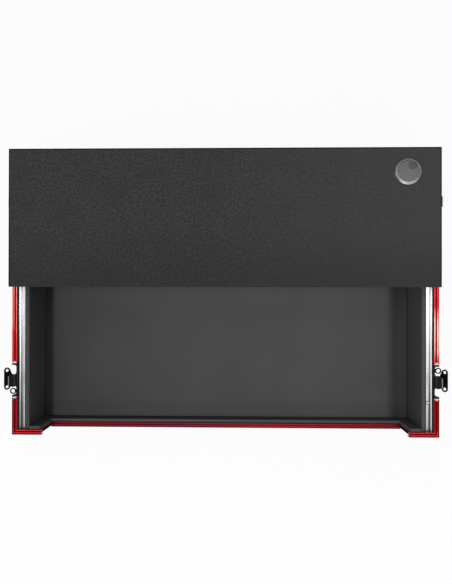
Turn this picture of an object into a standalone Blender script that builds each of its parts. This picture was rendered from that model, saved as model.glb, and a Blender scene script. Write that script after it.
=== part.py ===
"""DJ controller flight case: open base with a gliding laptop platform.

Metres, +Z up, origin under the middle of the case at the level of its feet.
+X is the case's right, seen from the front, and +Y is its back.
"""
import math

import bmesh
import bpy
from mathutils import Matrix, Vector

MM = 0.001
GAP = 0.3 * MM  # between pieces that touch

# case, over its trim
CASE_W = 787 * MM
CASE_D = 530 * MM
CASE_H = 105 * MM  # underside of the floor panel to the rim
PLY = 6 * MM
FOAM = 8 * MM
FOAM_DROP = 5 * MM  # side foam top below the rim
END_FOAM_DROP = 2.5 * MM  # front and back foam top below the rim

# closure trim, a channel that grips the panels' edges
TRIM_LIP = 1.2 * MM  # wall of its legs
TRIM_OUTER_LEG = 12 * MM
TRIM_INNER_LEG = 7 * MM
TRIM_WEB = 3 * MM  # depth of its web below the rim
TRIM_GROOVE_FROM = 2 * MM  # from its inner face to the groove that takes the lid's tongue
TRIM_GROOVE_W = 2.3 * MM
TRIM_LINE_FROM = 6.2 * MM  # from its inner face to the fine line
TRIM_LINE_W = 1 * MM
TRIM_LINE_H = 1.2 * MM
TRIM_INNER_EDGE = 0.4 * MM  # chamfers
TRIM_OUTER_EDGE = 0.6 * MM

# lowered cut-out in the front panel
CUTOUT_FROM_SIDE = 51.5 * MM  # its ends from the case's side faces
CUTOUT_SILL = 40.2 * MM  # front wall left below it, from the underside of the floor panel
CUTOUT_OVERHANG = 3 * MM  # front trim beyond the panel's edge

# edge protection
ANGLE_LEG = 22 * MM
ANGLE_WALL = 1.2 * MM
CORNER_LEG = 34 * MM
CORNER_WALL = 1.4 * MM
CORNER_BALL = 11 * MM  # radius of the ball
CORNER_PROUD = 4.7 * MM  # ball beyond the corner's flat faces
CORNER_SEAM = 1 * MM  # between the bottom angles' ends

# feet
FOOT_R = 19 * MM
FOOT_H = 12 * MM
FOOT_DRAFT = 2.5 * MM
FOOT_EDGE = 1.2 * MM  # height of the bevel round its underside
FOOT_INSET = 62 * MM  # foot centre from the case's outer faces
FOOT_SCREW_R = 3 * MM
FOOT_CUP_R = 7 * MM
FOOT_CUP_H = 5.3 * MM  # depth of the cup that sinks the screw head
FOOT_CUP_EDGE = 0.6 * MM

# slide way
RAIL_W = 12.7 * MM
RAIL_H = 8 * MM
RAIL_WALL = 1.2 * MM
RAIL_DROP = 8.3 * MM  # rail top below the rim
RAIL_OFFSET = 9.7 * MM  # rail's outer face from the case's outer face

# laptop platform
PLATFORM_FROM_SIDE = 12.3 * MM  # its side edges from the case's side faces
PLATFORM_D = 245 * MM
PLATFORM_T = 12 * MM
PLATFORM_TOP = 47 * MM  # above the rim
PLATFORM_BACK = 11 * MM  # its back edge from the case's back face
PLATFORM_EDGE = 1 * MM  # rounding
LEG_T = 6.4 * MM
LEG_INSET = 3.5 * MM  # leg's ends from the platform's front and back edges
LEG_EDGE = 0.6 * MM
GLIDE_WALL = 1.4 * MM
GLIDE_FLOOR = 2 * MM
GLIDE_H = 8 * MM

# cable grommet
GROMMET_FROM_SIDE = 58.2 * MM  # its centre from the platform's right edge
GROMMET_FROM_BACK = 42.5 * MM  # from the platform's back edge
GROMMET_R = 23.75 * MM
GROMMET_RIM_H = 2.4 * MM
GROMMET_SINK = 0.6 * MM  # rim pressed into the board's covering
GROMMET_RIM_SLOPE = 2.6 * MM  # width of the sloping part of the rim
GROMMET_RIM_EDGE = 0.6 * MM  # thickness of the rim at its outer edge
GROMMET_TUBE_R = 20.5 * MM
GROMMET_BORE_R = 18.7 * MM
GROMMET_TAIL = 3 * MM  # tube below the platform
GROMMET_LEDGE = 2 * MM  # width of the ledge that carries the cap
GROMMET_LEDGE_T = 1.4 * MM
GROMMET_CAP_T = 2 * MM
GROMMET_CAP_DROP = 0.5 * MM  # cap's face below the rim's top
GROMMET_CAP_EDGE = 0.4 * MM
GROMMET_FLOOR_FROM = 3 * MM  # edge of the half floor from the middle
GROMMET_NOTCH_R = 7.5 * MM
GROMMET_NOTCH_AT = 12.5 * MM  # notch centre from the cap's centre
GROMMET_NOTCH_TURN = 57  # degrees from +X

# latches
LATCH_FROM_END = 101.6 * MM  # latch centre from the case's front or back face
LATCH_GAP = 62 * MM  # opening in the trim
DISH_W = 55.7 * MM  # clear width of the recess
DISH_DEPTH = 8.3 * MM  # pan below the trim's outer face
DISH_WALL = 1.0 * MM
DISH_FLANGE = 8 * MM
DISH_ROUND = 3.5 * MM  # rounding inside the recess
DISH_CLEAR = 2 * MM  # below the tip of a wing that hangs flat
ROTOR_DROP = 29 * MM  # rotor axis below the rim
ROTOR_R = 16 * MM
ROTOR_T = 1.8 * MM
SHAFT_R = 3 * MM
GUIDE_W = 1.8 * MM  # ribs beside the hook plate
GUIDE_H = 6 * MM
GUIDE_DROP = 3 * MM  # their tops below the rim
CAM_R = 8 * MM
CAM_THROW = 4 * MM
CAM_SLACK = 1.3 * MM  # above and below the cam in the hook plate's window
HOOK_T = 1.6 * MM
HOOK_BASE_W = 34 * MM
HOOK_NECK_W = 22 * MM
HOOK_TOP_W = 18 * MM
HOOK_RISE = 17.5 * MM  # top of the hook above the rim
HOOK_BEND = 11.5 * MM  # where the claw starts, above the rim
HOOK_REACH = 6.3 * MM  # how far the claw leans outwards
HOOK_FOOT = 4.5 * MM  # plate below its window
HOOK_SHOULDER = 2.7 * MM  # plate above its window, up to the neck
HOOK_SLOPE = 3 * MM  # height of the sloping shoulders
WINDOW_ROUND = 2 * MM
WING_T = 1.8 * MM
WING_PROUD = 1.0 * MM  # wing hinge outside the trim's outer face
WING_LEN = 25.3 * MM  # hinge to tip
WING_EAR_R = 5.6 * MM
WING_EAR_SPREAD = 15.4 * MM
WING_HOLE_R = 2.8 * MM
WING_NECK_W = 15 * MM
WING_NECK_END = 9.5 * MM  # short of the ears' centres
WING_LIFT = 43  # degrees above straight out, for the front pair at rest
PIN_R = 1.1 * MM
POST_W = 8 * MM
POST_R = 2.6 * MM
KNUCKLE_R = 2.2 * MM
EYE_R = 5.6 * MM
EYE_HOLE_R = 3.6 * MM
EYE_T = 1.8 * MM
EYE_SIDE = 20.4 * MM  # eye centre from the latch centre
EYE_OUT = 2.0 * MM  # eye centre inside the trim's outer face
EYE_DROP = 0.1 * MM  # eye's top below the rim
EYE_ROOT_END = 0.6 * MM  # its root stops this far short of the hole

# levels and half sizes worked out from the values above
HALF_W = CASE_W / 2
HALF_D = CASE_D / 2
RIM = FOOT_H + CASE_H
SKIN_X = HALF_W - TRIM_LIP - GAP  # panels' outer faces
SKIN_Y = HALF_D - TRIM_LIP - GAP
WALL_X = SKIN_X - PLY  # panels' inner faces
WALL_Y = SKIN_Y - PLY
TRIM_W = 2 * (TRIM_LIP + GAP) + PLY
FLOOR_TOP = FOOT_H + PLY
RAIL_OUT = HALF_W - RAIL_OFFSET
RAIL_IN = RAIL_OUT - RAIL_W
RAIL_TOP = RIM - RAIL_DROP
RAIL_BED = RAIL_TOP - RAIL_H
SIDE_FOAM_OUT = RAIL_IN - GAP
SIDE_FOAM_IN = SIDE_FOAM_OUT - FOAM
END_FOAM_OUT = WALL_Y - GAP
END_FOAM_IN = END_FOAM_OUT - FOAM
CUTOUT_Z = FOOT_H + CUTOUT_SILL
CUTOUT_END = HALF_W - CUTOUT_FROM_SIDE
LATCH_Y = HALF_D - LATCH_FROM_END
PANEL_TOP = RIM - TRIM_WEB - TRIM_LIP - GAP
BOARD_TOP = RIM + PLATFORM_TOP
BOARD_UNDER = BOARD_TOP - PLATFORM_T
BOARD_BACK = HALF_D - PLATFORM_BACK
BOARD_Y = BOARD_BACK - PLATFORM_D / 2
BOARD_END = HALF_W - PLATFORM_FROM_SIDE
GROMMET_X = BOARD_END - GROMMET_FROM_SIDE
LEG_D = PLATFORM_D - 2 * LEG_INSET
LEG_X = RAIL_OUT - RAIL_W / 2
FACETS = 40

COLOURS = {
    "black_laminate": ((0.012, 0.012, 0.013), 0.45, 0.0),
    "red_anodised": ((0.55, 0.012, 0.02), 0.3, 1.0),
    "bare_aluminium": ((0.75, 0.75, 0.76), 0.32, 1.0),
    "grey_foam": ((0.05, 0.05, 0.052), 0.95, 0.0),
    "black_steel": ((0.015, 0.015, 0.016), 0.4, 0.6),
    "black_carpet": ((0.04, 0.04, 0.042), 0.95, 0.0),
    "black_paint": ((0.012, 0.012, 0.012), 0.5, 0.0),
    "grey_plastic": ((0.15, 0.15, 0.155), 0.4, 0.0),
    "black_nylon": ((0.02, 0.02, 0.02), 0.45, 0.0),
    "black_rubber": ((0.018, 0.018, 0.018), 0.85, 0.0),
}


def clear_scene():
    for thing in list(bpy.data.objects):
        bpy.data.objects.remove(thing, do_unlink=True)


def new_collection(name):
    made = bpy.data.collections.new(name)
    bpy.context.scene.collection.children.link(made)
    return made


def material(name):
    found = bpy.data.materials.get(name)
    if found:
        return found
    colour, roughness, metallic = COLOURS[name]
    made = bpy.data.materials.new(name)
    made.use_nodes = True
    shader = made.node_tree.nodes["Principled BSDF"]
    shader.inputs["Base Color"].default_value = (*colour, 1)
    shader.inputs["Roughness"].default_value = roughness
    shader.inputs["Metallic"].default_value = metallic
    made.diffuse_color = (*colour, 1)
    return made


def mesh_object(name, mesh, finish, where=None):
    made = bpy.data.objects.new(name, mesh)
    if not mesh.materials:
        mesh.materials.append(material(finish))
    (where or PARTS).objects.link(made)
    return made


def from_bmesh(name, bm, finish, where=None):
    bmesh.ops.recalc_face_normals(bm, faces=bm.faces)
    mesh = bpy.data.meshes.new(name)
    bm.to_mesh(mesh)
    bm.free()
    return mesh_object(name, mesh, finish, where)


def box(name, low, high, finish, where=None):
    """A box between two corners, its origin at its middle."""
    low, high = Vector(low), Vector(high)
    bm = bmesh.new()
    bmesh.ops.create_cube(bm, size=1)
    bmesh.ops.scale(bm, vec=high - low, verts=bm.verts)
    made = from_bmesh(name, bm, finish, where)
    made.location = (low + high) / 2
    return made


def cylinder(name, radius, depth, at, axis, finish, top=None, facets=FACETS, where=None):
    """A cylinder or cone centred on a point, with its axis along x, y or z."""
    bm = bmesh.new()
    bmesh.ops.create_cone(
        bm, cap_ends=True, segments=facets, radius1=radius,
        radius2=radius if top is None else top, depth=depth,
    )
    turn = {"x": Matrix.Rotation(math.pi / 2, 3, "Y"), "y": Matrix.Rotation(-math.pi / 2, 3, "X")}
    if axis in turn:
        bmesh.ops.rotate(bm, matrix=turn[axis], verts=bm.verts)
    made = from_bmesh(name, bm, finish, where)
    made.location = at
    made.data.shade_smooth()
    made.data.set_sharp_from_angle(angle=math.radians(30))
    return made


def prism(name, outline, depth, finish, plane="xz", where=None):
    """A flat outline given a thickness: the outline lies in a plane, extruded both ways from it."""
    bm = bmesh.new()
    face = bm.faces.new([bm.verts.new((a, b, -depth / 2)) for a, b in outline])
    grown = bmesh.ops.extrude_face_region(bm, geom=[face])
    lifted = [v for v in grown["geom"] if isinstance(v, bmesh.types.BMVert)]
    bmesh.ops.translate(bm, vec=(0, 0, depth), verts=lifted)
    planes = {
        "xy": Matrix.Identity(3),
        "xz": Matrix(((1, 0, 0), (0, 0, 1), (0, 1, 0))),
        "yz": Matrix(((0, 0, 1), (1, 0, 0), (0, 1, 0))),
    }
    bmesh.ops.transform(bm, matrix=planes[plane].to_4x4(), verts=bm.verts)
    return from_bmesh(name, bm, finish, where)


def swept(name, profile, path, finish, plane_normal=(0, 0, 1)):
    """A profile drawn along a path of straight runs, mitred at its corners.

    The profile's first value lies to the left of the path's direction, its second along the normal.
    """
    up = Vector(plane_normal)
    points = [Vector(p) for p in path]
    runs = [(b - a).normalized() for a, b in zip(points, points[1:])]
    bm = bmesh.new()
    rings = []
    for i, point in enumerate(points):
        sides = [up.cross(run) for run in runs[max(i - 1, 0):i + 1]]
        mitre = sum(sides, Vector()).normalized()
        mitre /= mitre.dot(sides[0])
        rings.append([bm.verts.new(point + mitre * a + up * b) for a, b in profile])
    for ring, following in zip(rings, rings[1:]):
        for j in range(len(profile)):
            k = (j + 1) % len(profile)
            bm.faces.new((ring[j], ring[k], following[k], following[j]))
    bm.faces.new(rings[0])
    bm.faces.new(rings[-1])
    return from_bmesh(name, bm, finish)


def boolean(target, tool, operation):
    made = target.modifiers.new(tool.name, "BOOLEAN")
    made.operation = operation
    made.solver = "EXACT"
    made.object = tool
    tool.hide_render = True
    tool.display_type = "WIRE"


def cut(target, *tools):
    for tool in tools:
        boolean(target, tool, "DIFFERENCE")


def join(target, *tools):
    for tool in tools:
        boolean(target, tool, "UNION")


def bevel(target, width, segments=2, angle=40):
    made = target.modifiers.new("rounded_edges", "BEVEL")
    made.width = width
    made.segments = segments
    made.limit_method = "ANGLE"
    made.angle_limit = math.radians(angle)


def cutter_box(name, low, high):
    return box(name, low, high, "black_paint", CUTTERS)


def mirrored_box(name, x_low, x_high, y_low, y_high, z_low, z_high, side, finish, where=None):
    """A box on one side of the case: its x values are distances from the middle."""
    a, b = sorted((side * x_low, side * x_high))
    return box(name, (a, y_low, z_low), (b, y_high, z_high), finish, where)


def trim_profile():
    """Closure extrusion: a channel over the panel's edge, with a groove, a ridge and a fine line on top.

    Values are distances from the trim's inner face and heights from the rim.
    """
    w = TRIM_W
    groove = TRIM_GROOVE_FROM
    ridge = groove + TRIM_GROOVE_W
    line = TRIM_LINE_FROM
    line_end = line + TRIM_LINE_W
    under = -TRIM_WEB - TRIM_LIP
    return [
        (0, -TRIM_INNER_LEG), (TRIM_LIP, -TRIM_INNER_LEG), (TRIM_LIP, under), (w - TRIM_LIP, under),
        (w - TRIM_LIP, -TRIM_OUTER_LEG), (w, -TRIM_OUTER_LEG), (w, -TRIM_OUTER_EDGE),
        (w - TRIM_OUTER_EDGE, 0), (line_end, 0), (line_end, -TRIM_LINE_H), (line, -TRIM_LINE_H), (line, 0),
        (ridge, 0), (ridge, -TRIM_WEB), (groove, -TRIM_WEB), (groove, 0), (TRIM_INNER_EDGE, 0),
        (0, -TRIM_INNER_EDGE),
    ]


def angle_profile(leg, wall):
    """An L whose corner lies outwards: distances from its outer faces."""
    return [(0, 0), (leg, 0), (leg, wall), (wall, wall), (wall, leg), (0, leg)]


def rim_trims():
    """The trim's lengths round the rim, stopped at the latches, and the length in the cut-out."""
    profile = trim_profile()
    x = HALF_W - TRIM_W
    y = HALF_D - TRIM_W
    near = LATCH_Y - LATCH_GAP / 2
    far = LATCH_Y + LATCH_GAP / 2
    bar_end = CUTOUT_END - CUTOUT_OVERHANG
    flipped = [(-a, b) for a, b in profile]
    for side, word, shape in ((-1, "left", profile), (1, "right", flipped)):
        front_run = [(side * bar_end, -y, RIM), (side * x, -y, RIM), (side * x, -far, RIM)]
        swept(f"{word}_front_trim", shape, front_run, "red_anodised")
        swept(f"{word}_middle_trim", shape, [(side * x, -near, RIM), (side * x, near, RIM)], "red_anodised")
    swept("rear_trim", profile, [(-x, far, RIM), (-x, y, RIM), (x, y, RIM), (x, far, RIM)], "red_anodised")
    half = CUTOUT_END - GAP
    swept("cutout_trim", flipped, [(-half, -y, CUTOUT_Z), (half, -y, CUTOUT_Z)], "red_anodised")


def shell_panels():
    """Plywood panels: the side panels run the full depth, the others stand between them."""
    box("floor_panel", (-WALL_X + GAP, -WALL_Y + GAP, FOOT_H), (WALL_X - GAP, WALL_Y - GAP, FLOOR_TOP),
        "black_laminate")
    half_hole = DISH_W / 2 + DISH_WALL + GAP
    hole_floor = dish_bottom() - DISH_WALL - GAP
    for side, word in ((-1, "left"), (1, "right")):
        panel = mirrored_box(f"{word}_side_panel", WALL_X, SKIN_X, -SKIN_Y, SKIN_Y, FOOT_H, PANEL_TOP, side,
                             "black_laminate")
        for end, end_word in ((-1, "front"), (1, "rear")):
            cut(panel, cutter_box(
                f"{word}_{end_word}_latch_cutout",
                (side * HALF_W - 2 * DISH_DEPTH, end * LATCH_Y - half_hole, hole_floor),
                (side * HALF_W + 2 * DISH_DEPTH, end * LATCH_Y + half_hole, RIM + PLY),
            ))
    front = box("front_panel", (-WALL_X + GAP, -SKIN_Y, FOOT_H), (WALL_X - GAP, -WALL_Y, PANEL_TOP),
                "black_laminate")
    cut(front, cutter_box("front_cutout", (-CUTOUT_END, -SKIN_Y - PLY, CUTOUT_Z - RIM + PANEL_TOP),
                          (CUTOUT_END, -WALL_Y + PLY, RIM + PLY)))
    box("back_panel", (-WALL_X + GAP, WALL_Y, FOOT_H), (WALL_X - GAP, SKIN_Y, PANEL_TOP), "black_laminate")


def dish_bottom():
    """Height of the recess's lower wall, which clears the wing when it hangs flat."""
    return RIM - ROTOR_DROP - WING_LEN - DISH_CLEAR


def edge_angles():
    """Aluminium angles along the bottom edges and up the corners."""
    profile = angle_profile(ANGLE_LEG, ANGLE_WALL)
    out_x = SKIN_X + GAP + ANGLE_WALL
    out_y = SKIN_Y + GAP + ANGLE_WALL
    base = FOOT_H - GAP - ANGLE_WALL
    corner = ANGLE_LEG + CORNER_SEAM  # the ends meet under the ball corners
    for side, word in ((-1, "left"), (1, "right")):
        swept(f"{word}_bottom_angle", [(side * a, b) for a, b in profile],
              [(side * out_x, corner - out_y, base), (side * out_x, out_y - corner, base)], "red_anodised")
    for end, word in ((-1, "front"), (1, "back")):
        swept(f"{word}_bottom_angle", [(-end * a, b) for a, b in profile],
              [(corner - out_x, end * out_y, base), (out_x - corner, end * out_y, base)], "red_anodised")
    foot_of_corner = base + ANGLE_LEG + GAP
    top_of_corner = RIM - TRIM_OUTER_LEG - GAP
    for side, word in ((-1, "left"), (1, "right")):
        for end, end_word in ((-1, "front"), (1, "back")):
            piece = prism(
                f"{end_word}_{word}_corner_angle",
                [(side * (out_x - a), end * (out_y - b)) for a, b in profile],
                top_of_corner - foot_of_corner, "red_anodised", "xy",
            )
            piece.location.z = (top_of_corner + foot_of_corner) / 2


def ball_corner(name, side, end):
    """Pressed steel corner: three rounded leaves that meet under a ball."""
    face_x = SKIN_X + 2 * GAP + ANGLE_WALL
    face_y = SKIN_Y + 2 * GAP + ANGLE_WALL
    face_z = FOOT_H - 2 * GAP - ANGLE_WALL
    tip = Vector((side * (face_x + CORNER_WALL), end * (face_y + CORNER_WALL), face_z - CORNER_WALL))
    inward = Vector((-side, -end, 1))
    half_leg = Vector((1, 1, 1)) * CORNER_LEG / 2
    corner = box(name, -half_leg, half_leg, "black_steel")
    corner.location = tip + inward * CORNER_LEG / 2
    ball_at = tip + inward * (CORNER_BALL - CORNER_PROUD)
    ball = sphere(f"{name}_ball", CORNER_BALL, ball_at, 24, 14)
    leaves = sphere(f"{name}_outline", CORNER_LEG, tip, 48, 32)
    join(corner, ball)
    boolean(corner, leaves, "INTERSECT")
    inside = tip + inward * CORNER_WALL
    far = tip + inward * 3 * CORNER_LEG
    cut(corner, cutter_box(f"{name}_inside", [min(a, b) for a, b in zip(inside, far)],
                           [max(a, b) for a, b in zip(inside, far)]))
    return corner


def sphere(name, radius, at, segments, rings):
    bm = bmesh.new()
    bmesh.ops.create_uvsphere(bm, u_segments=segments, v_segments=rings, radius=radius)
    made = from_bmesh(name, bm, "black_steel", CUTTERS)
    made.location = at
    made.data.shade_smooth()
    return made


def turned(name, profile, at, finish, facets=FACETS, where=None):
    """A closed profile of radii and heights turned round the z axis through a point."""
    bm = bmesh.new()
    ring = [bm.verts.new((r, 0, z)) for r, z in profile]
    for i, vert in enumerate(ring):
        bm.edges.new((vert, ring[(i + 1) % len(ring)]))
    made = from_bmesh(name, bm, finish, where)
    made.location = at
    spin = made.modifiers.new("turned", "SCREW")
    spin.axis = "Z"
    spin.steps = facets
    spin.render_steps = facets
    spin.use_merge_vertices = True
    spin.merge_threshold = 0.01 * MM
    return made


def corners_and_feet():
    foot_top = FOOT_H - GAP
    profile = [
        (FOOT_SCREW_R, foot_top), (FOOT_R, foot_top), (FOOT_R - FOOT_DRAFT, FOOT_EDGE),
        (FOOT_R - FOOT_DRAFT - FOOT_EDGE, 0), (FOOT_CUP_R + FOOT_CUP_EDGE, 0), (FOOT_CUP_R, FOOT_CUP_EDGE),
        (FOOT_CUP_R, FOOT_CUP_H), (FOOT_SCREW_R, FOOT_CUP_H),
    ]
    for side, word in ((-1, "left"), (1, "right")):
        for end, end_word in ((-1, "front"), (1, "back")):
            ball_corner(f"{end_word}_{word}_ball_corner", side, end)
            at = (side * (HALF_W - FOOT_INSET), end * (HALF_D - FOOT_INSET), 0)
            turned(f"{end_word}_{word}_foot", profile, at, "black_rubber", facets=28)


def lining():
    """Foam on the floor and walls. The end foams are rebated round the trim's inner leg."""
    floor = FLOOR_TOP + GAP
    box("floor_foam", (-SIDE_FOAM_IN + GAP, -END_FOAM_IN + GAP, floor),
        (SIDE_FOAM_IN - GAP, END_FOAM_IN - GAP, floor + FOAM), "grey_foam")
    for side, word in ((-1, "left"), (1, "right")):
        foam = mirrored_box(f"{word}_foam", SIDE_FOAM_IN, SIDE_FOAM_OUT, -END_FOAM_OUT, END_FOAM_OUT, floor,
                            RIM - FOAM_DROP, side, "grey_foam")
        for end, end_word in ((-1, "front"), (1, "back")):
            cut(foam, trim_rebate(f"{word}_foam_{end_word}_rebate", HALF_W, end, RIM))
    for end, word in ((-1, "front"), (1, "back")):
        y = sorted((end * END_FOAM_IN, end * END_FOAM_OUT))
        foam = box(f"{word}_foam", (-SIDE_FOAM_IN + GAP, y[0], floor),
                   (SIDE_FOAM_IN - GAP, y[1], RIM - END_FOAM_DROP), "grey_foam")
        cut(foam, trim_rebate(f"{word}_foam_rebate", HALF_W, end, RIM))
        if end < 0:
            cut(foam, cutter_box("foam_cutout", (-CUTOUT_END, -HALF_D, CUTOUT_Z - END_FOAM_DROP),
                                 (CUTOUT_END, -END_FOAM_IN + PLY, RIM + PLY)))
            cut(foam, trim_rebate("foam_cutout_rebate", CUTOUT_END, end, CUTOUT_Z))


def trim_rebate(name, half_length, end, top):
    """Room for the trim's inner leg in a foam that stands behind it."""
    y = sorted((end * (HALF_D - TRIM_W - GAP), end * HALF_D))
    return cutter_box(name, (-half_length, y[0], top - TRIM_INNER_LEG - GAP),
                      (half_length, y[1], top + PLY))


def slide_way():
    """Wooden rail boards, and the aluminium channels that lie on them."""
    length = 2 * (WALL_Y - GAP)
    for side, word in ((-1, "left"), (1, "right")):
        board = mirrored_box(f"{word}_rail_board", RAIL_IN, WALL_X - GAP, -WALL_Y + GAP, WALL_Y - GAP,
                             FLOOR_TOP + GAP, RAIL_BED - GAP, side, "black_paint")
        pocket = HALF_W - DISH_DEPTH - DISH_WALL - GAP
        half_pocket = DISH_W / 2 + 2 * DISH_WALL
        for end, end_word in ((-1, "front"), (1, "rear")):
            cut(board, mirrored_box(
                f"{word}_{end_word}_dish_pocket", pocket, HALF_W, end * LATCH_Y - half_pocket,
                end * LATCH_Y + half_pocket, dish_bottom() - 2 * DISH_WALL, RIM, side, "black_paint",
                CUTTERS,
            ))
        channel = [
            (-RAIL_W / 2, 0), (RAIL_W / 2, 0), (RAIL_W / 2, RAIL_H), (RAIL_W / 2 - RAIL_WALL, RAIL_H),
            (RAIL_W / 2 - RAIL_WALL, RAIL_WALL), (RAIL_WALL - RAIL_W / 2, RAIL_WALL),
            (RAIL_WALL - RAIL_W / 2, RAIL_H), (-RAIL_W / 2, RAIL_H),
        ]
        rail = prism(f"{word}_rail", channel, length, "bare_aluminium")
        rail.location = (side * LEG_X, 0, RAIL_BED)


def laptop_platform():
    """The board, its two legs and the nylon glides that run in the rails."""
    board = box("platform_board", (-BOARD_END, BOARD_BACK - PLATFORM_D, BOARD_UNDER),
                (BOARD_END, BOARD_BACK, BOARD_TOP), "black_carpet")
    bevel(board, PLATFORM_EDGE)
    hole_at = (GROMMET_X, BOARD_BACK - GROMMET_FROM_BACK, BOARD_TOP)
    for name, radius, depth in (("grommet_hole", GROMMET_TUBE_R, 2 * PLATFORM_T),
                                ("grommet_seat", GROMMET_R, GROMMET_SINK)):
        cut(board, cylinder(name, radius + GAP, 2 * depth, hole_at, "z", "black_paint", facets=48,
                            where=CUTTERS))
    glide_under = RAIL_BED + RAIL_WALL + GAP
    leg_under = glide_under + GLIDE_FLOOR + GAP
    half_slot = LEG_T / 2 + GAP
    half_glide = half_slot + GLIDE_WALL
    for side, word in ((-1, "left"), (1, "right")):
        leg = mirrored_box(f"{word}_platform_leg", LEG_X - LEG_T / 2, LEG_X + LEG_T / 2,
                           BOARD_Y - LEG_D / 2, BOARD_Y + LEG_D / 2, leg_under, BOARD_UNDER - GAP, side,
                           "black_paint")
        bevel(leg, LEG_EDGE, segments=1)
        outline = [
            (-half_glide, 0), (half_glide, 0), (half_glide, GLIDE_H), (half_slot, GLIDE_H),
            (half_slot, GLIDE_FLOOR), (-half_slot, GLIDE_FLOOR), (-half_slot, GLIDE_H),
            (-half_glide, GLIDE_H),
        ]
        glide = prism(f"{word}_platform_glide", outline, LEG_D, "black_nylon")
        glide.location = (side * LEG_X, BOARD_Y, glide_under)


def cable_grommet():
    """A liner with a ledge and a half floor, and a turning cap whose notch that floor closes."""
    at = Vector((GROMMET_X, BOARD_BACK - GROMMET_FROM_BACK, BOARD_TOP - GROMMET_SINK + GAP))
    cap_top = GROMMET_RIM_H - GROMMET_CAP_DROP
    cap_under = cap_top - GROMMET_CAP_T
    ledge = cap_under - GAP
    tail = GROMMET_SINK - PLATFORM_T - GROMMET_TAIL
    ledge_in = GROMMET_BORE_R - GROMMET_LEDGE
    ledge_under = ledge - GROMMET_LEDGE_T
    crown = (GROMMET_RIM_H + GROMMET_RIM_EDGE) / 2
    profile = [
        (GROMMET_BORE_R, GROMMET_RIM_H), (GROMMET_R - GROMMET_RIM_SLOPE, GROMMET_RIM_H),
        (GROMMET_R - GROMMET_RIM_SLOPE / 3, crown), (GROMMET_R, GROMMET_RIM_EDGE), (GROMMET_R, 0),
        (GROMMET_TUBE_R, 0), (GROMMET_TUBE_R, tail), (GROMMET_BORE_R, tail), (GROMMET_BORE_R, ledge_under),
        (ledge_in, ledge_under), (ledge_in, ledge), (GROMMET_BORE_R, ledge),
    ]
    liner = turned("grommet_liner", profile, at, "grey_plastic", facets=48)
    turn = math.radians(GROMMET_NOTCH_TURN)
    toward = Vector((math.cos(turn), math.sin(turn), 0))
    half_floor = cylinder("grommet_half_floor", (GROMMET_BORE_R + GROMMET_TUBE_R) / 2, GROMMET_LEDGE_T,
                          at + Vector((0, 0, ledge - GROMMET_LEDGE_T / 2)), "z", "grey_plastic", facets=48,
                          where=CUTTERS)
    open_half = box("grommet_open_half", (-2 * GROMMET_R, -2 * GROMMET_R, -PLATFORM_T),
                    (2 * GROMMET_R, 2 * GROMMET_R, PLATFORM_T), "black_paint", CUTTERS)
    open_half.rotation_euler.z = turn
    open_half.location = at - toward * (2 * GROMMET_R - GROMMET_FLOOR_FROM)
    cut(half_floor, open_half)
    join(liner, half_floor)
    cap = cylinder("grommet_cap", GROMMET_BORE_R - GAP, GROMMET_CAP_T,
                   at + Vector((0, 0, cap_top - GROMMET_CAP_T / 2)), "z", "grey_plastic", facets=48)
    notch = cylinder("grommet_notch", GROMMET_NOTCH_R, 4 * GROMMET_CAP_T,
                     cap.location + toward * GROMMET_NOTCH_AT, "z", "black_paint", facets=28, where=CUTTERS)
    cut(cap, notch)
    bevel(cap, GROMMET_CAP_EDGE, segments=1)


def finished_mesh(piece):
    """The piece's mesh with its modifiers applied, its origin kept; the piece and its tools are removed."""
    bpy.context.view_layer.update()
    graph = bpy.context.evaluated_depsgraph_get()
    mesh = bpy.data.meshes.new_from_object(piece.evaluated_get(graph), depsgraph=graph)
    tools = [m.object for m in piece.modifiers if m.type == "BOOLEAN"]
    for tool in tools:
        tools.extend(m.object for m in tool.modifiers if m.type == "BOOLEAN")
    for thing in [piece, *tools]:
        bpy.data.objects.remove(thing, do_unlink=True)
    return mesh


# The latch pieces below are drawn for the right-hand side of the case. Their origin is the rotor's axis
# where it meets the trim's outer plane: +X points out of the case, +Z up to the rim, ROTOR_DROP above.


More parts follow.
